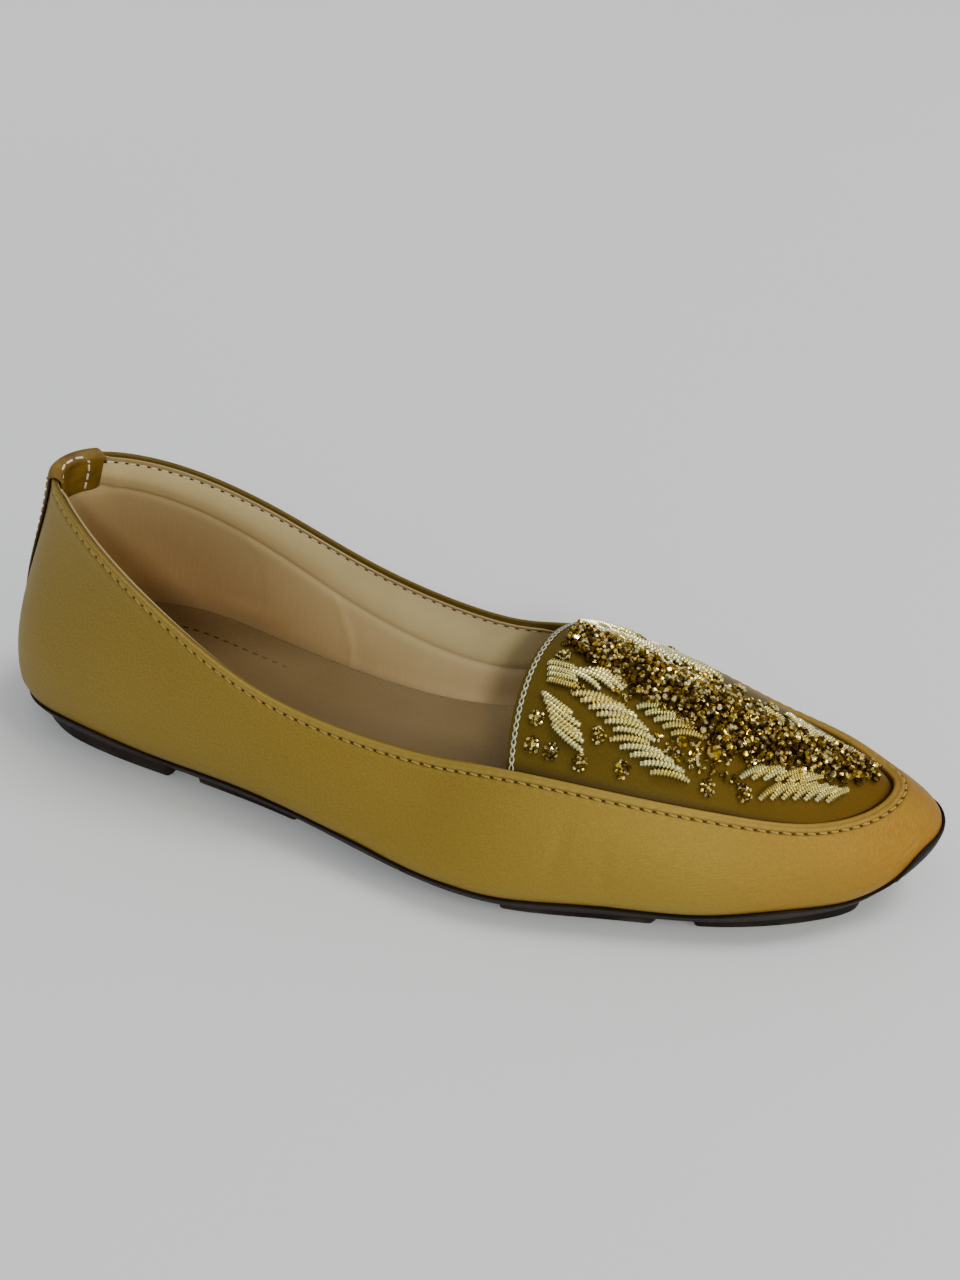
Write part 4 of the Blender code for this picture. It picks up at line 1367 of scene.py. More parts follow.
def make_lug(pad, corner):
    """One lug, drawn down from the cup's lower corner to the floor."""
    face_inset = pad.inset * BALL_WIDTH
    ring = pad_ring(face_inset)
    start = max(pad.start * LENGTH - HEEL_REST, ring[:, 0].min() + 0.0010)
    end = min(pad.end * LENGTH - HEEL_REST, ring[:, 0].max() - 0.0010)
    rows = max(13, int((end - start) / LUG_ROW))
    x = start + (end - start) * np.linspace(0, 1, rows)
    from_end = np.minimum(x - start, end - x)
    base = np.interp(x, corner[:, 0], corner[:, 2])
    lift = ((x + HEEL_REST) / LENGTH - TOE_LIFT_START) / (TOE_LIFT_END - TOE_LIFT_START)
    below = TOE_LIFT * smoothstep(lift) * base
    grids = []
    for height, inset, trim in (
        (base + PAD_SINK, face_inset - PAD_DRAFT, 0.0),
        (below + 0.5 * PAD_DRAFT, face_inset - 0.6 * PAD_DRAFT, 0.3),
        (below + 0.12 * PAD_DRAFT, face_inset - 0.1 * PAD_DRAFT, 0.7),
        (below, face_inset + 0.15 * PAD_DRAFT, 1.0),
    ):
        middle = (start + end) / 2
        at = middle + (x - middle) * (1 - 2 * trim * PAD_DRAFT / (end - start))
        outer, inner = sole_side(inset, at, True), sole_side(inset, at, False)
        at_corner = np.clip(1 - from_end / LUG_ROUND, 0, 1)
        off = np.minimum(LUG_ROUND * (1 - np.sqrt(1 - at_corner**2)), 0.25 * (inner - outer))
        sides = (np.stack([at, y, height], axis=1) for y in (outer + off, inner - off))
        grids.append(strip_grid(*sides, LUG_COLUMNS))
    face = grids[-1]
    width = np.minimum(face[:, :, 1] - face[:, :1, 1], face[:, -1:, 1] - face[:, :, 1])
    width = np.minimum(width, from_end[:, None])
    face[:, :, 2] += tread(face[:, :, 0], face[:, :, 1], width)
    band = np.array([
        np.concatenate([grid[:, 0], grid[-1, 1:], grid[-2::-1, -1], grid[0, -2::-1]])
        for grid in grids[::-1]
    ])
    lug = join("lug", [
        lay_sheet("lug_face", face[:, ::-1]),
        lay_sheet("lug_top", grids[0]),
        lay_sheet("lug_side", band),
    ])
    close_up(lug, 0.00001)
    return lug


# %% [markdown]
# The cup's sheet is closed by a lid at each end of its rows, and then takes in the lugs.

# %% Build the cup and join the lugs
def lid(row):
    """A grid that closes one end of the cup, from the outer side to the inner side."""
    return strip_grid(row[: len(SOLE_HALF)], row[: len(SOLE_HALF) - 2 : -1], 15)


sole_grid = sole_points()
cup = join("rubber_sole", [
    lay_sheet("sole_cup", sole_grid),
    lay_sheet("sole_low", lid(sole_grid[0])[:, ::-1]),
    lay_sheet("sole_high", lid(sole_grid[-1])),
])
close_up(cup, 0.00001)
for pad in PADS:
    lug = make_lug(pad, sole_grid[1][: len(SOLE_HALF)])
    modify(cup, "BOOLEAN", object=lug, operation="UNION", solver="EXACT")
    bpy.data.objects.remove(lug)
finish_piece(cup, "sole_rubber", "sole_rubber", "outsole", sharp=35)

# %% [markdown]
# ## Stitches
# A lockstitch shows as short raised threads between needle holes. One stitch is modelled from a
# six-sided cylinder: its ends are extruded down and narrowed, as where the thread dives into
# a hole. A hole is a small dark ball with a flattened top, which is sunk in the leather. Both are
# copied along lines that are looked up on the wall, the lining and the strap, each copy with its
# own mesh, and the copies are joined.


# %% Tools for small parts
def pick(piece, test):
    """Opens edit mode with only those faces selected whose centre and normal pass a test."""
    only(piece)
    bpy.ops.object.mode_set(mode="EDIT")
    bpy.ops.mesh.select_mode(type="FACE")
    bpy.ops.mesh.select_all(action="DESELECT")
    bpy.ops.object.mode_set(mode="OBJECT")
    for face in piece.data.polygons:
        face.select = bool(test(face.center, face.normal))
    bpy.ops.object.mode_set(mode="EDIT")


def start_part(name):
    """Names the new primitive, and applies its turn to its mesh."""
    part = bpy.context.object
    part.name = part.data.name = name
    only(part)
    bpy.ops.object.transform_apply(location=True, rotation=True, scale=True)
    return part


def draw_out(move, size):
    """Extrudes the selected faces by a move, and then resizes them."""
    bpy.ops.mesh.extrude_region_move(TRANSFORM_OT_translate={"value": move})
    bpy.ops.transform.resize(value=size)


def model_stitch():
    bpy.ops.mesh.primitive_cylinder_add(
        vertices=6, radius=0.5, depth=0.6, rotation=(0, math.pi / 2, 0)
    )
    stitch = start_part("stitch")
    for side in (-1, 1):
        pick(stitch, lambda centre, normal: normal.x * side > 0.9)
        draw_out((0.12 * side, 0, -0.10), (1, 0.85, 0.85))
        draw_out((0.08 * side, 0, -0.42), (1, 0.5, 0.5))
        bpy.ops.object.mode_set(mode="OBJECT")
    return stitch


def model_hole():
    bpy.ops.mesh.primitive_uv_sphere_add(segments=8, ring_count=4, radius=0.5)
    hole = start_part("hole")
    pick(hole, lambda centre, normal: normal.z > 0.2)
    bpy.ops.transform.resize(value=(1, 1, 0.35))
    bpy.ops.object.mode_set(mode="OBJECT")
    return hole


STITCH, HOLE = model_stitch(), model_hole()
print("a stitch has", len(STITCH.data.polygons), "faces, a hole", len(HOLE.data.polygons))

# %% [markdown]
# A copy's place is a small frame of axes: one runs along the line, one stands off the surface,
# and each is as long as the copy is in that direction. Lines are cut into even steps first.


# %% Copy a model along a line
def frames(points, tangents, normals, length, width, height, turn=0.0):
    """Places for copies: x along the line, z off the surface, each at its own size."""
    places = []
    sizes = [np.broadcast_to(size, (len(points),)) for size in (length, width, height, turn)]
    for point, tangent, normal, a, b, c, angle in zip(points, tangents, normals, *sizes):
        x = unit(tangent - normal * np.dot(tangent, normal))
        y = np.cross(normal, x)
        x, y = x * math.cos(angle) + y * math.sin(angle), y * math.cos(angle) - x * math.sin(angle)
        place = np.eye(4)
        place[:3, 0], place[:3, 1], place[:3, 2], place[:3, 3] = x * a, y * b, normal * c, point
        places.append(Matrix(place))
    return places


def copies(name, model, places, **marks):
    """One object made of a copy of the model at each place. marks give each copy a value."""
    made = []
    for number, place in enumerate(places):
        copy = model.copy()
        copy.data = model.data.copy()
        copy.data.transform(place)
        for mark, values in marks.items():
            store(copy, mark, values[number])
        bpy.context.scene.collection.objects.link(copy)
        made.append(copy)
    return join(name, made)


def line_along(points):
    """Unit directions along a line of points."""
    return unit(np.gradient(points, axis=0))


def evenly(points, pitch):
    """Points spaced evenly by about a pitch along a line of points."""
    along = run_along(points)
    wanted = np.linspace(0, along[-1], max(2, round(along[-1] / pitch) + 1))
    return np.stack([np.interp(wanted, along, points[:, k]) for k in range(3)], axis=1)


def nearest_to(spots, line):
    """For each spot, the number of the line's point that is nearest to it."""
    return [int(np.argmin(np.linalg.norm(line - spot, axis=1))) for spot in spots]


print("tools: frames, copies, line_along, evenly, nearest_to")

# %% [markdown]
# The seam below the fold is sewn through the wall and the lining, so its needle holes are in the
# same places inside and out. Outside the thread is gold, and inside, along the collar, pale.


# %% Sew the edge seam
LINED = -(WALL_AT_TOP - 0.00012)  # the lift of the lining's face at the seam
# Sizes are the length, width and height, and how far the thread slants.
GOLD_STITCH, PALE_STITCH = (0.0023, 0.00058, 0.00055, -0.14), (0.0021, 0.00072, 0.00085, 0.12)
OUTER_HOLE, INNER_HOLE = (0.0008, 0.00078, 0.00035), (0.0009, 0.0010, 0.0007)


def place_of(along):
    """Positions round the shoe of distances along the seam."""
    return np.interp(np.mod(along, AROUND), WALL_ALONG, WALL_AT)


def on_collar(along):
    """Those distances along the seam that are on the collar."""
    return along[frontness(place_of(along)) < 0.05]


def sew(name, model, along, facing, lower, lift, sizes, finish):
    """Copies of a stitch or a hole along the seam, facing out of the shoe (1) or in (-1)."""
    depth = SEAM_DEPTH + lower
    spot, next_spot = Wall(place_of(along)), Wall(place_of(along + 0.0005))
    points = spot.at(depth, lift)
    off = facing * unit(spot.at(depth, lift + 0.001) - points)
    ahead = next_spot.at(depth, lift) - points
    piece = copies(name, model, frames(points, ahead, off, *sizes))
    finish_piece(piece, finish, "satin_leather" if facing > 0 else "sock_lining", sharp=60)


sewn = np.arange(STITCHES) * PITCH
sewn = sewn[from_heel(sewn) > STRAP_HALF + PITCH / 2]
holes = np.concatenate([sewn - PITCH / 2, [sewn[-1] + PITCH / 2]])
sew("edge_seam", STITCH, sewn, 1, 0, -0.00012, GOLD_STITCH, "gold_thread")
sew("edge_needle_holes", HOLE, holes, 1, 0.00005, -0.00030, OUTER_HOLE, "dark_thread")
sew("topline_seam", STITCH, on_collar(sewn), -1, 0, LINED + 0.00024, PALE_STITCH, "pale_thread")
sew("topline_needle_holes", HOLE, on_collar(holes), -1, 0, LINED + 0.00022, INNER_HOLE, "dark_thread")

# %% [markdown]
# The strap and the sock are sewn too. An arch of off-white stitches holds the strap inside the
# collar, gold ones run down its two edges at the back, and a line of brown ones goes round the
# heel of the sock. The strap's stitches are looked up on its own grid.


# %% Sew the strap and the sock
def on_sheet(grid, row, column):
    """Points between a grid's rows and columns."""
    row = np.clip(row, 0, grid.shape[0] - 1.001)
    column = np.clip(column, 0, grid.shape[1] - 1.001)
    i, j = row.astype(int), column.astype(int)
    a, b = (row - i)[:, None], (column - j)[:, None]
    low = grid[i, j] * (1 - b) + grid[i, j + 1] * b
    high = grid[i + 1, j] * (1 - b) + grid[i + 1, j + 1] * b
    return low * (1 - a) + high * a


def sew_strap(name, rows, aside, sizes, finish):
    """Stitches along rows of the strap, at shares of its half width."""
    columns = (aside + 1) / 2 * (STRAP_COLUMNS - 1)
    line, off = on_sheet(strap_face, rows, columns), on_sheet(strap_off, rows, columns)
    spots = evenly(line, STITCH_PITCH)
    off = off[nearest_to(spots, line)]
    middles = (spots[1:] + spots[:-1]) / 2
    places = frames(middles, line_along(middles), unit(off[1:] + off[:-1]), *sizes)
    finish_piece(copies(name, STITCH, places), finish, "strap_leather", sharp=60)


strap_off = unit(np.cross(np.gradient(strap_grid, axis=1), np.gradient(strap_grid, axis=0)))
strap_face = strap_grid + strap_off * (STRAP_THICK + 0.0001)
ARCH_HALF, ARCH_FOOT, ARCH_SHOULDER, ARCH_RISE = 0.60, 0.0105, 0.0020, 0.0030
turn = np.linspace(0, math.pi, 40)
arch_x, arch_y = np.sign(np.cos(turn)) * np.abs(np.cos(turn)) ** 0.5, np.sin(turn) ** 0.5
leg = np.linspace(ARCH_FOOT, ARCH_SHOULDER, 8)
arch_aside = ARCH_HALF * np.concatenate([np.full(8, 1), arch_x, np.full(8, -1)])
arch_depth = np.concatenate([leg, ARCH_SHOULDER - ARCH_RISE * arch_y, leg[::-1]])
arch_rows = (arch_depth - STRAP_TOP) / (STRAP_INSIDE - STRAP_TOP) * (ROWS_DOWN - 1)
arch_rows += ROWS_UP + ROWS_OVER
sew_strap("strap_seam_inside", arch_rows, arch_aside, (0.0024, 0.00060, 0.00055), "pale_thread")
for name, side in (("strap_seam_outer", -1), ("strap_seam_inner", 1)):
    rows = np.linspace(1, ROWS_UP + 1, 80)
    sew_strap(name, rows, np.full(80, side * 0.80), (0.0023, 0.00050, 0.00045), "gold_thread")

SOCK_SEAM_IN, SOCK_SEAM_PITCH = 0.0095, 0.0036
heel_half = np.linspace(0.0, SECTION_AT[4] * 0.98, 80)
heel_line = np.concatenate([
    on_bed(Columns(at), SOCK_SEAM_IN, SOCK_HEIGHT - 0.00018)
    for at in (heel_half[::-1], across(heel_half[1:]))
])
spots = evenly(heel_line, SOCK_SEAM_PITCH)
seam = copies(
    "sock_seam", STITCH,
    frames(spots, line_along(spots), np.tile(UP, (len(spots), 1)), 0.0022, 0.00055, 0.00045),
)
finish_piece(seam, "dark_thread", "sock_lining", sharp=60)

# %% [markdown]
# ## Embroidery
# The apron carries a spine of crystals down its middle, and fans of leaves on both sides. A leaf is
# a row of cords side by side. Each cord is a coil of gilt wire over padding, so it is a ribbed
# roll that dives into the satin at both ends. Small clusters of silvery crystals sit between the
# leaves. A place on the apron is looked up by casting a ray straight down on it.


# %% Places on the apron
number = np.arange(APRON_ROWS * APRON_COLUMNS).reshape(APRON_ROWS, APRON_COLUMNS)
corners = (number[:-1, :-1], number[:-1, 1:], number[1:, 1:], number[1:, :-1])
faces = np.stack(corners, axis=2).reshape(-1, 4)
APRON_TREE = BVHTree.FromPolygons(apron_grid.reshape(-1, 3).tolist(), faces.tolist())


def on_apron(x, y):
    """(points, normals) of the apron's face at x and y, or None off its edge."""
    points, normals = [], []
    for a, b in zip(np.atleast_1d(x), np.atleast_1d(y)):
        place, normal, _, _ = APRON_TREE.ray_cast(Vector((a, b, 0.2)), Vector((0, 0, -1)))
        if place is None:
            return None
        points.append(place)
        normals.append(normal if normal.z > 0 else -normal)
    return np.array(points), np.array(normals)


SPINE_X = 0.001 * np.array([118, 124, 130, 140, 150, 160, 170, 180, 188, 195, 200, 206])
SPINE_Y = 0.001 * np.array([8.6, 6.2, 2.6, -0.4, -3.0, -4.4, -4.4, -2.2, -0.2, 2.6, 5.2, 7.6])


def spine_y(x):
    """The middle of the spine across the shoe."""
    return np.interp(x, SPINE_X, SPINE_Y)


def far_side(x, y):
    """The place on the inner side that mirrors one on the outer side. The spine runs nearer the
    inner seam at both ends, so the pattern is squeezed there."""
    room = np.interp(x, [0.118, 0.150, 0.175, 0.205], [0.65, 0.80, 0.80, 0.60])
    return spine_y(x) + (spine_y(x) - y) * room


print("the apron's middle is", np.round(on_apron(0.160, spine_y(0.160))[0][0] * 1000, 1), "mm")

# %% [markdown]
# The cord is modelled once, along x and one unit long: a circle is extruded ring by ring, and
# every other ring is drawn in, which gives the ribs of the coil. The mark "low" paints shade in
# the gaps between them and on the cord's lower side. Each copy is then laid along its own line on
# the apron.


# %% Model a bullion cord
RIBS = 12
CORD_RADIUS = 0.00112
RIB_GAP = 0.64
CORD_SLANT = 0.45  # how far the ribs lean, in rings


def model_cord():
    bpy.ops.mesh.primitive_circle_add(
        vertices=8, radius=RIB_GAP, fill_type="NGON", rotation=(0, math.pi / 2, 0)
    )
    cord = start_part("cord")
    bpy.ops.object.mode_set(mode="EDIT")
    bpy.ops.mesh.select_all(action="SELECT")
    step = 1 / (2 * RIBS)
    for number in range(2 * RIBS):
        grow = 1 / RIB_GAP if number % 2 == 0 else RIB_GAP
        draw_out((step, 0, 0), (1, grow, grow))
    bpy.ops.object.mode_set(mode="OBJECT")
    close_up(cord, 0.0001)
    at = np.array([vertex.co for vertex in cord.data.vertices])
    gap = np.hypot(at[:, 1], at[:, 2]) < 0.83
    # The mark low paints shade in the gaps between the ribs and on the cord's lower side.
    store(cord, "low", np.maximum(0.62 * gap, np.clip((0.25 - at[:, 2]) / 0.6, 0, 1)))
    return cord


CORD = model_cord()
CORD_AT = np.array([vertex.co for vertex in CORD.data.vertices])
print("a cord has", len(CORD.data.polygons), "faces")

# %% [markdown]
# One row of the table is one leaf: where its first cord starts, how each next start is moved,
# how many cords there are, their length and heading in degrees, and how far they bend.
# Positions are in millimetres from the heel's rest and from the middle of the shoe.

# %% The table of leaves
Leaf = namedtuple("Leaf", "name x y step_x step_y cords length heading bend")
LEAVES = (
    Leaf("tuft", 121.9, -7.6, 0.5, -1.5, 4, 8.6, 2, 6),
    Leaf("throat_fan", 123.2, -15.4, 1.22, -1.5, 5, 11.2, -16, 10),
    Leaf("upper", 127.0, -8.4, 2.0, 0.95, 4, 11.5, -12, -10),
    Leaf("middle", 130.4, -14.0, 2.4, -0.85, 6, 12.2, 9, -12),
    Leaf("inner_long", 146.2, -11.6, 2.4, -0.55, 5, 9.8, 20, -14),
    Leaf("outer_long", 142.4, -20.5, 2.8, -0.58, 5, 11.4, 14, -12),
    Leaf("toe_upper", 174.0, -14.4, 2.65, 1.25, 6, 8.8, 46, -12),
    Leaf("toe_lower", 179.6, -16.0, 2.50, 1.36, 7, 8.2, 53, -14),
)
rng = np.random.default_rng(7)
print(len(LEAVES), "leaves a side, with", sum(leaf.cords for leaf in LEAVES), "cords")

# %% [markdown]
# A cord follows an arc. Its rings stand on the apron's face, each at its own height and radius, so
# that the roll is full in the middle and dives into the satin at both ends. On the inner side a
# leaf is the mirror of the outer one, across the spine.


# %% Lay the leaves
def lay_cord(x, y, length, heading, bend):
    """A copy of the cord along an arc on the apron, or None where it would leave the panel."""
    rings = 2 * RIBS
    t = np.linspace(0, 1, rings + 1)
    angle = np.radians(heading + bend * (t - 0.5) * 2)[:-1]
    step = length / rings
    line_x = x + np.concatenate([[0.0], np.cumsum(np.cos(angle) * step)])
    line_y = y + np.concatenate([[0.0], np.cumsum(np.sin(angle) * step)])
    found = on_apron(line_x, line_y)
    if found is None:
        return None
    points, normals = found
    sideways = np.cross(normals, line_along(points))
    at_end = np.abs(2 * t - 1) ** 8
    rise = 0.0004 + 0.0006 * np.sin(np.pi * t) ** 0.7 - 0.0007 * at_end
    radius = CORD_RADIUS * (1 - 0.45 * at_end)
    on, side, up = CORD_AT.T
    ring = np.clip(on, 0, 1) * rings + CORD_SLANT * side * np.sin(np.pi * on)
    ring = np.clip(ring, 0, rings)

    def take(values):
        """The values of the cord's rings, at each vertex of the model."""
        values = values.reshape(rings + 1, -1)
        return np.stack([np.interp(ring, np.arange(rings + 1), v) for v in values.T], axis=1)

    out = take(radius)
    place = take(points) + take(normals) * (take(rise) + out * up[:, None])
    place += take(sideways) * out * side[:, None]
    copy = CORD.copy()
    copy.data = CORD.data.copy()
    copy.data.vertices.foreach_set("co", place.ravel())
    store(copy, "tint", rng.uniform(0.25, 1.0))
    bpy.context.scene.collection.objects.link(copy)
    return copy


def lay_leaf(leaf, far=False):
    """A leaf's cords, joined. far lays it on the inner side instead."""
    cords = []
    for number in range(leaf.cords):
        x = (leaf.x + leaf.step_x * number) / 1000
        y = (leaf.y + leaf.step_y * number) / 1000
        middle = (leaf.cords - 1) / 2
        length = leaf.length / 1000 * (1 - 0.10 * (abs(number - middle) / max(middle, 1)) ** 2)
        length *= rng.uniform(0.96, 1.04)
        heading, bend = leaf.heading + rng.uniform(-2, 2), leaf.bend
        if far:
            end_x = x + length * math.cos(math.radians(heading))
            end_y = y + length * math.sin(math.radians(heading))
            start_y, stop_y = far_side(x, y), far_side(end_x, end_y)
            heading, bend = math.degrees(math.atan2(stop_y - start_y, end_x - x)), -bend
            y = start_y
        made = lay_cord(x, y, length, heading, bend)
        if made:
            cords.append(made)
    piece = join(("far_" if far else "near_") + leaf.name + "_leaf", cords)
    finish_piece(piece, "gilt_bullion", "apron_satin", sharp=70)


for leaf in LEAVES:
    lay_leaf(leaf)
    lay_leaf(leaf, far=True)

# %% [markdown]
# Crystals come in two shapes. A stone is a short eight-sided cylinder whose ends are drawn out
# and narrowed, to a wide flat table above and a smaller one below. A nugget is a twenty-sided
# ball that is pressed flat. Turned a little differently each time, either one sparkles on its own.


# %% Model the crystals
def model_stone():
    bpy.ops.mesh.primitive_cylinder_add(vertices=8, radius=0.5, depth=0.24)
    stone = start_part("stone")
    for side, narrow, rise in ((1, 0.62, 0.20), (-1, 0.45, 0.22)):
        pick(stone, lambda centre, normal: normal.z * side > 0.9)
        draw_out((0, 0, rise * side), (narrow, narrow, 1))
        bpy.ops.object.mode_set(mode="OBJECT")
    return stone


def model_nugget():
    bpy.ops.mesh.primitive_ico_sphere_add(subdivisions=1, radius=0.5)
    nugget = start_part("nugget")
    bpy.ops.object.mode_set(mode="EDIT")
    bpy.ops.mesh.select_all(action="SELECT")
    bpy.ops.transform.resize(value=(1, 1, 0.78))
    bpy.ops.object.mode_set(mode="OBJECT")
    return nugget


STONE, NUGGET = model_stone(), model_nugget()


def tilted(normals, amount):
    """Normals that lean a little, each in its own direction."""
    return unit(normals + rng.normal(0, amount, normals.shape))


def set_crystals(name, model, x, y, size, rise, tint, lean=0.25):
    """Crystals at places on the apron, with their own sizes, heights and tints."""
    on = np.array([on_apron(a, b) is not None for a, b in zip(x, y)])
    points, normals = on_apron(x[on], y[on])
    count = len(points)
    size, rise = np.broadcast_to(size, on.shape)[on], np.broadcast_to(rise, on.shape)[on]
    spin = rng.uniform(0, 2 * math.pi, count)
    around = np.stack([np.cos(spin), np.sin(spin), np.zeros(count)], axis=1)
    size = size * rng.uniform(0.85, 1.15, count)
    seat = points + normals * rise[:, None]
    places = frames(seat, around, tilted(normals, lean), size, size, size)
    piece = copies(name, model, places, tint=np.clip(tint, 0, 1)[on])
    finish_piece(piece, "amber_crystal", "apron_satin", sharp=5)


print("faces of a stone and a nugget:", len(STONE.data.polygons), len(NUGGET.data.polygons))

# %% [markdown]
# The spine is a heap: a first layer of dark stones lies on the satin edge to edge, and a second
# layer of brighter stones and nuggets is set on it, higher along the middle. The heap starts
# at the throat and ends in a point short of the toe.


# %% Set the spine
SPINE_HALF_X = 0.001 * np.array([118, 124, 132, 145, 165, 185, 195, 200, 205])
SPINE_HALF = 0.001 * np.array([3.4, 4.6, 6.0, 6.2, 6.0, 5.4, 4.6, 3.6, 1.2])
SPINE_FROM, SPINE_TO, SCATTER = 0.1245, 0.2045, 0.00022


def spine_places(pitch, edge):
    """(x, y, dome) of places packed on the spine. dome is 1 along its middle, 0 at its edges."""
    x, y = [], []
    for number, at in enumerate(np.arange(SPINE_FROM, SPINE_TO, pitch * 0.87)):
        half = np.interp(at, SPINE_HALF_X, SPINE_HALF) + edge
        start = -half + (number % 2) * pitch / 2
        for aside in np.arange(start, half, pitch):
            x.append(at + rng.normal(0, SCATTER))
            y.append(spine_y(at) + aside + rng.normal(0, SCATTER))
    x, y = np.array(x), np.array(y)
    half = np.interp(x, SPINE_HALF_X, SPINE_HALF)
    dome = np.sqrt(np.clip(1 - ((y - spine_y(x)) / (half + 0.001)) ** 2, 0, 1))
    return x, y, dome


x, y, dome = spine_places(0.0019, 0.0)
set_crystals("spine_base", STONE, x, y, 0.0024, 0.0004 + 0.0005 * dome, rng.uniform(0, 0.35, len(x)))
x, y, dome = spine_places(0.0020, -0.0003)
tints = rng.choice([0.08, 0.30, 0.48, 0.66, 0.92], len(x), p=[0.20, 0.26, 0.28, 0.17, 0.09])
tints = tints + rng.normal(0, 0.05, len(x))
set_crystals("spine_stones", STONE, x, y, 0.0021, 0.0012 + 0.0010 * dome, tints, 0.60)
x, y, dome = spine_places(0.0024, -0.0005)
tints = rng.choice([0.30, 0.60, 0.80, 1.0], len(x), p=[0.32, 0.32, 0.20, 0.16])
set_crystals("spine_nuggets", NUGGET, x, y, 0.0014, 0.0018 + 0.0011 * dome, tints, 0.9)

# %% [markdown]
# Clusters, strings and large amber stones fill the satin between the leaves. A cluster is a
# nugget with a ring of others round it. A string is a row of little groups.

# %% Set clusters, strings and amber stones
CLUSTERS = (  # millimetres
    (124.4, -21.3), (125.2, -26.7), (130.0, -26.7), (137.5, -26.7), (147.5, -24.5), (139.8, -20.4),
    (124.8, -4.0), (131.1, -12.0), (167.4, -19.6), (175.9, -16.3), (175.7, -9.6), (167.0, -11.5),
)
STRING = (
    (153.4, -15.5), (156.4, -16.7), (158.6, -17.4), (162.1, -17.0), (164.7, -17.0), (167.8, -16.1),
    (170.5, -15.7), (173.0, -15.4), (160.2, -10.4), (162.4, -13.4), (163.2, -15.2), (170.2, -12.4),
    (171.0, -10.4), (140.4, -9.4), (143.4, -10.4), (144.8, -13.2), (148.8, -16.4),
)
AMBER = ((159.1, -14.1, 3.3), (166.7, -12.6, 5.2), (173.0, -6.4, 4.2), (168.2, -7.6, 3.6))


def grouped(centres, ring, count, far):
    """Places in a ring round each centre, with the centre itself."""
    x, y = [], []
    for a, b in np.array(centres)[:, :2] / 1000:
        if far:
            b = far_side(a, b)
        turn = rng.uniform(0, 2 * math.pi)
        for number in range(count):
            angle = turn + 2 * math.pi * number / count
            x.append(a + ring * math.cos(angle) * rng.uniform(0.85, 1.15))
            y.append(b + ring * math.sin(angle) * rng.uniform(0.85, 1.15))
        x.append(a)
        y.append(b)
    return np.array(x), np.array(y)


for far in (False, True):
    side = "far" if far else "near"
    x, y = grouped(CLUSTERS, 0.00145, 8, far)
    top = np.arange(len(x)) % 9 == 8
    rise = np.where(top, 0.0011, 0.0005)
    tint = np.where(rng.random(len(x)) < 0.3, 0.35, rng.uniform(0.80, 1.0, len(x)))
    set_crystals(side + "_clusters", NUGGET, x, y, 0.00135, rise, tint, 0.8)
    x, y = grouped(CLUSTERS, 0.00070, 4, far)
    tint = rng.uniform(0.55, 1.0, len(x))
    set_crystals(side + "_cluster_tops", NUGGET, x, y, 0.00105, 0.0012, tint, 0.9)
    x, y = grouped(STRING, 0.00085, 3, far)
    tint = rng.uniform(0.35, 1.0, len(x))
    set_crystals(side + "_strings", NUGGET, x, y, 0.00135, 0.0006, tint, 0.7)
    x, y, size = np.array(AMBER).T / 1000
    y = far_side(x, y) if far else y
    set_crystals(side + "_amber_stones", STONE, x, y, size, 0.0008, np.full(len(x), 0.5), 0.08)
    x, y = grouped(AMBER, 0.0024, 8, far)
    ringed = np.arange(len(x)) % 9 != 8
    tint = rng.uniform(0.3, 0.8, ringed.sum())
    set_crystals(side + "_amber_rings", NUGGET, x[ringed], y[ringed], 0.0013, 0.0005, tint, 0.5)

# %% [markdown]
# ## Chain stitch at the throat
# A pale chain of looped stitches edges the throat. One link is a torus whose one end is drawn in
# to a drop, and each link starts inside the one before it.


# %% Sew the chain
def model_link():
    bpy.ops.mesh.primitive_torus_add(
        major_radius=0.40, minor_radius=0.13, major_segments=12, minor_segments=5
    )
    link = start_part("link")
    pick(link, lambda centre, normal: centre.x > 0.15)
    bpy.ops.transform.resize(value=(1, 0.55, 1), center_override=(0, 0, 0))
    bpy.ops.object.mode_set(mode="OBJECT")
    return link


LINK = model_link()
CHAIN_INSET, CHAIN_PITCH, CHAIN_LIFT = 0.0007, 0.0021, 0.00022
line = evenly(apron_grid[1, 1:-1] + [CHAIN_INSET, 0, 0], 0.0003)
found, off = on_apron(line[:, 0], line[:, 1])
spots = evenly(found, CHAIN_PITCH)
off = off[nearest_to(spots, found)]
places = frames(spots + off * CHAIN_LIFT, line_along(spots), off, 0.0029, 0.00125, 0.0010)
chain = copies("throat_chain", LINK, places)
finish_piece(chain, "chain_thread", "apron_satin", sharp=70)

# %% [markdown]
# The small models have been copied wherever they were needed, so they go.

# %% Put the models away
for model in (STITCH, HOLE, CORD, STONE, NUGGET, LINK):
    bpy.data.objects.remove(model)

# %% [markdown]
# ## Floor, lights and camera
# The shoe stands on a pale floor that runs on to the horizon. Its colour is painted lighter
# towards the back, as painted light. The room is almost evenly bright. A wide soft light comes
# from above. A narrower one comes in low from the front and the toe side, so that the near edge of
# the collar and the apron cast soft shadows into the shoe, and a small warm window at the right
# picks out the toe.

# %% Floor
bpy.ops.mesh.primitive_plane_add(size=6, location=(0, 0, 0))
floor = bpy.context.object
floor.name = "floor"
floor.data.transform(Matrix.Translation((0.09, 0, -0.0002)))
floor_finish = Finish("pale_floor", roughness=0.55, specular_IOR_level=0.10)
floor_place = floor_finish.place()
floor_cloud = floor_finish.noise(floor_place, 0.35, 4.0)
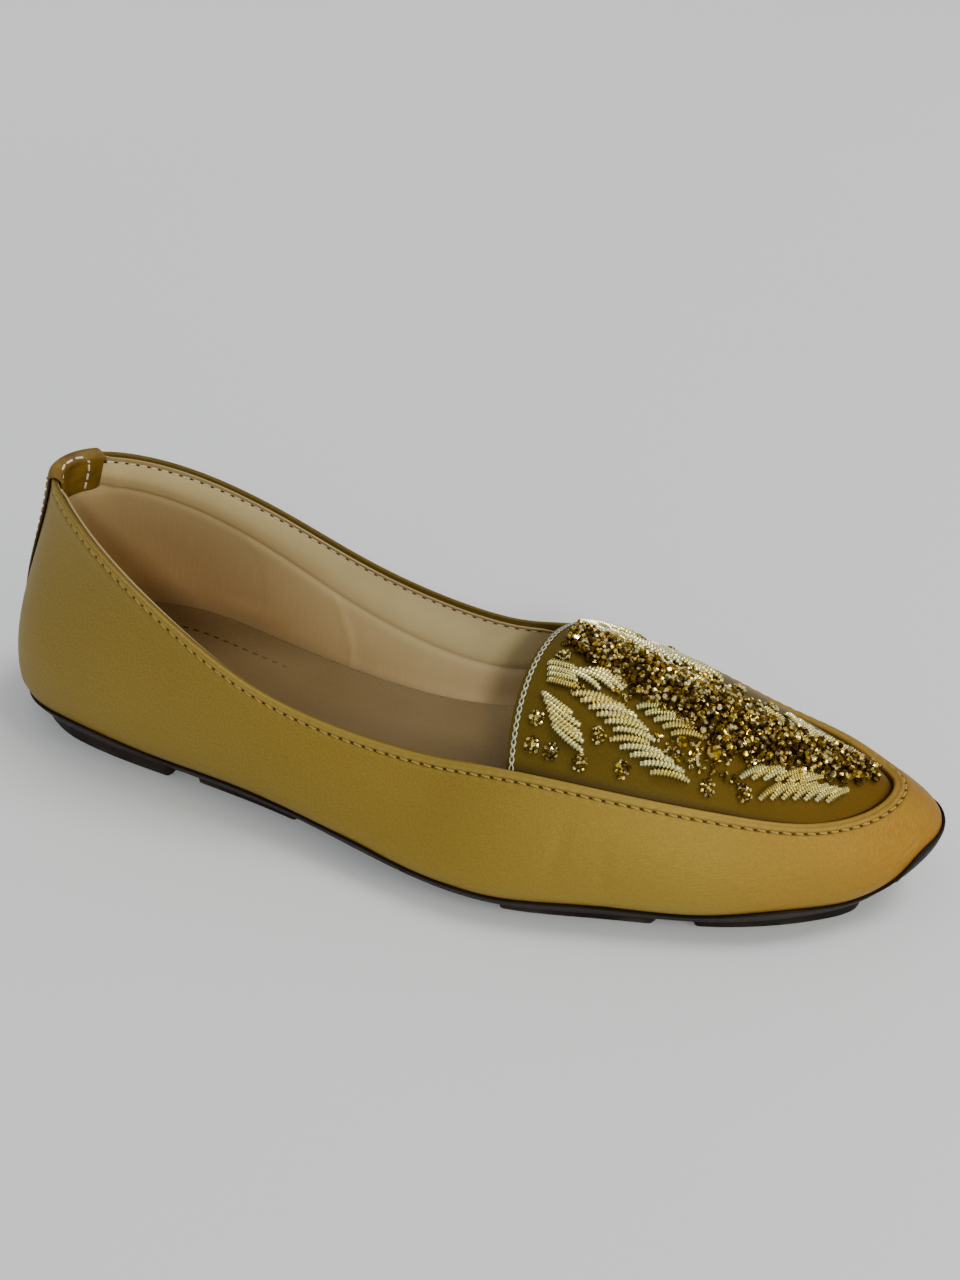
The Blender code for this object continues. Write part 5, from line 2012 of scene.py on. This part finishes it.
# Painted light: the floor's colour gets lighter towards the back.
floor_light_towards_back = floor_finish.axis(floor_place, "Y").between(-0.05, 0.55)
floor_colour = floor_finish.blend(floor_light_towards_back, (0.80, 0.835, 0.825), (0.93, 0.935, 0.915))
floor_finish.paint(
    floor_finish.blend(floor_cloud.between(0.35, 0.65) * 0.5, floor_colour, (0.86, 0.875, 0.86)),
    roughness=0.42 + floor_cloud * 0.1,
)
floor.data.materials.append(floor_finish.material)

# %% [markdown]
# The room is a little bluer overhead than at the horizon. Each lamp is turned to face its aim.

# %% Light the room
world = bpy.data.worlds.new("soft_room")
bpy.context.scene.world = world
world.use_nodes = True
sky = world.node_tree
sky_place = sky.nodes.new("ShaderNodeTexCoord")
sky_height = sky.nodes.new("ShaderNodeSeparateXYZ")
sky_ramp = sky.nodes.new("ShaderNodeValToRGB")
SKY = ((0.0, (0.47, 0.465, 0.455, 1)), (0.9, (0.50, 0.51, 0.52, 1)))
for stop, (position, colour) in zip(sky_ramp.color_ramp.elements, SKY):
    stop.position, stop.color = position, colour
sky.links.new(sky_place.outputs["Generated"], sky_height.inputs["Vector"])
sky.links.new(sky_height.outputs["Z"], sky_ramp.inputs["Fac"])
sky.links.new(sky_ramp.outputs["Color"], sky.nodes["Background"].inputs["Color"])
sky.nodes["Background"].inputs["Strength"].default_value = 1.0


def light(kind, name, place, aim, strength, **settings):
    """A lamp at a place, turned to face its aim."""
    bpy.ops.object.light_add(type=kind, location=place)
    lamp = bpy.context.object
    lamp.name = name
    lamp.rotation_euler = (Vector(aim) - Vector(place)).to_track_quat("-Z", "Y").to_euler()
    lamp.data.energy = strength
    for setting, value in settings.items():
        setattr(lamp.data, setting, value)
    print(name, "shines from", place)


light("AREA", "right_window", (0.75, -0.12, 0.30), (0.18, 0, 0.03), 1.2,
      shape="DISK", size=0.22, color=(1.0, 0.93, 0.80))
light("SUN", "overhead", (0.40, 0.30, 1.0), (0, 0, 0), 1.20, angle=math.radians(24))
light("SUN", "front_key", (0.72, -1.40, 1.0), (0, 0, 0), 0.95, angle=math.radians(7))

# %% [markdown]
# The camera looks down on the outer side of the shoe, from the front and above.

# %% Place the camera and finish
bpy.ops.object.camera_add(location=(0.2148, -0.3129, 0.2851))
camera = bpy.context.object
camera.rotation_euler = [math.radians(turn) for turn in (54.38, -1.40, 20.95)]
camera.data.lens = 44.89
camera.data.sensor_width = 36
camera.data.sensor_fit = "AUTO"
camera.data.dof.use_dof = False
bpy.context.scene.camera = camera
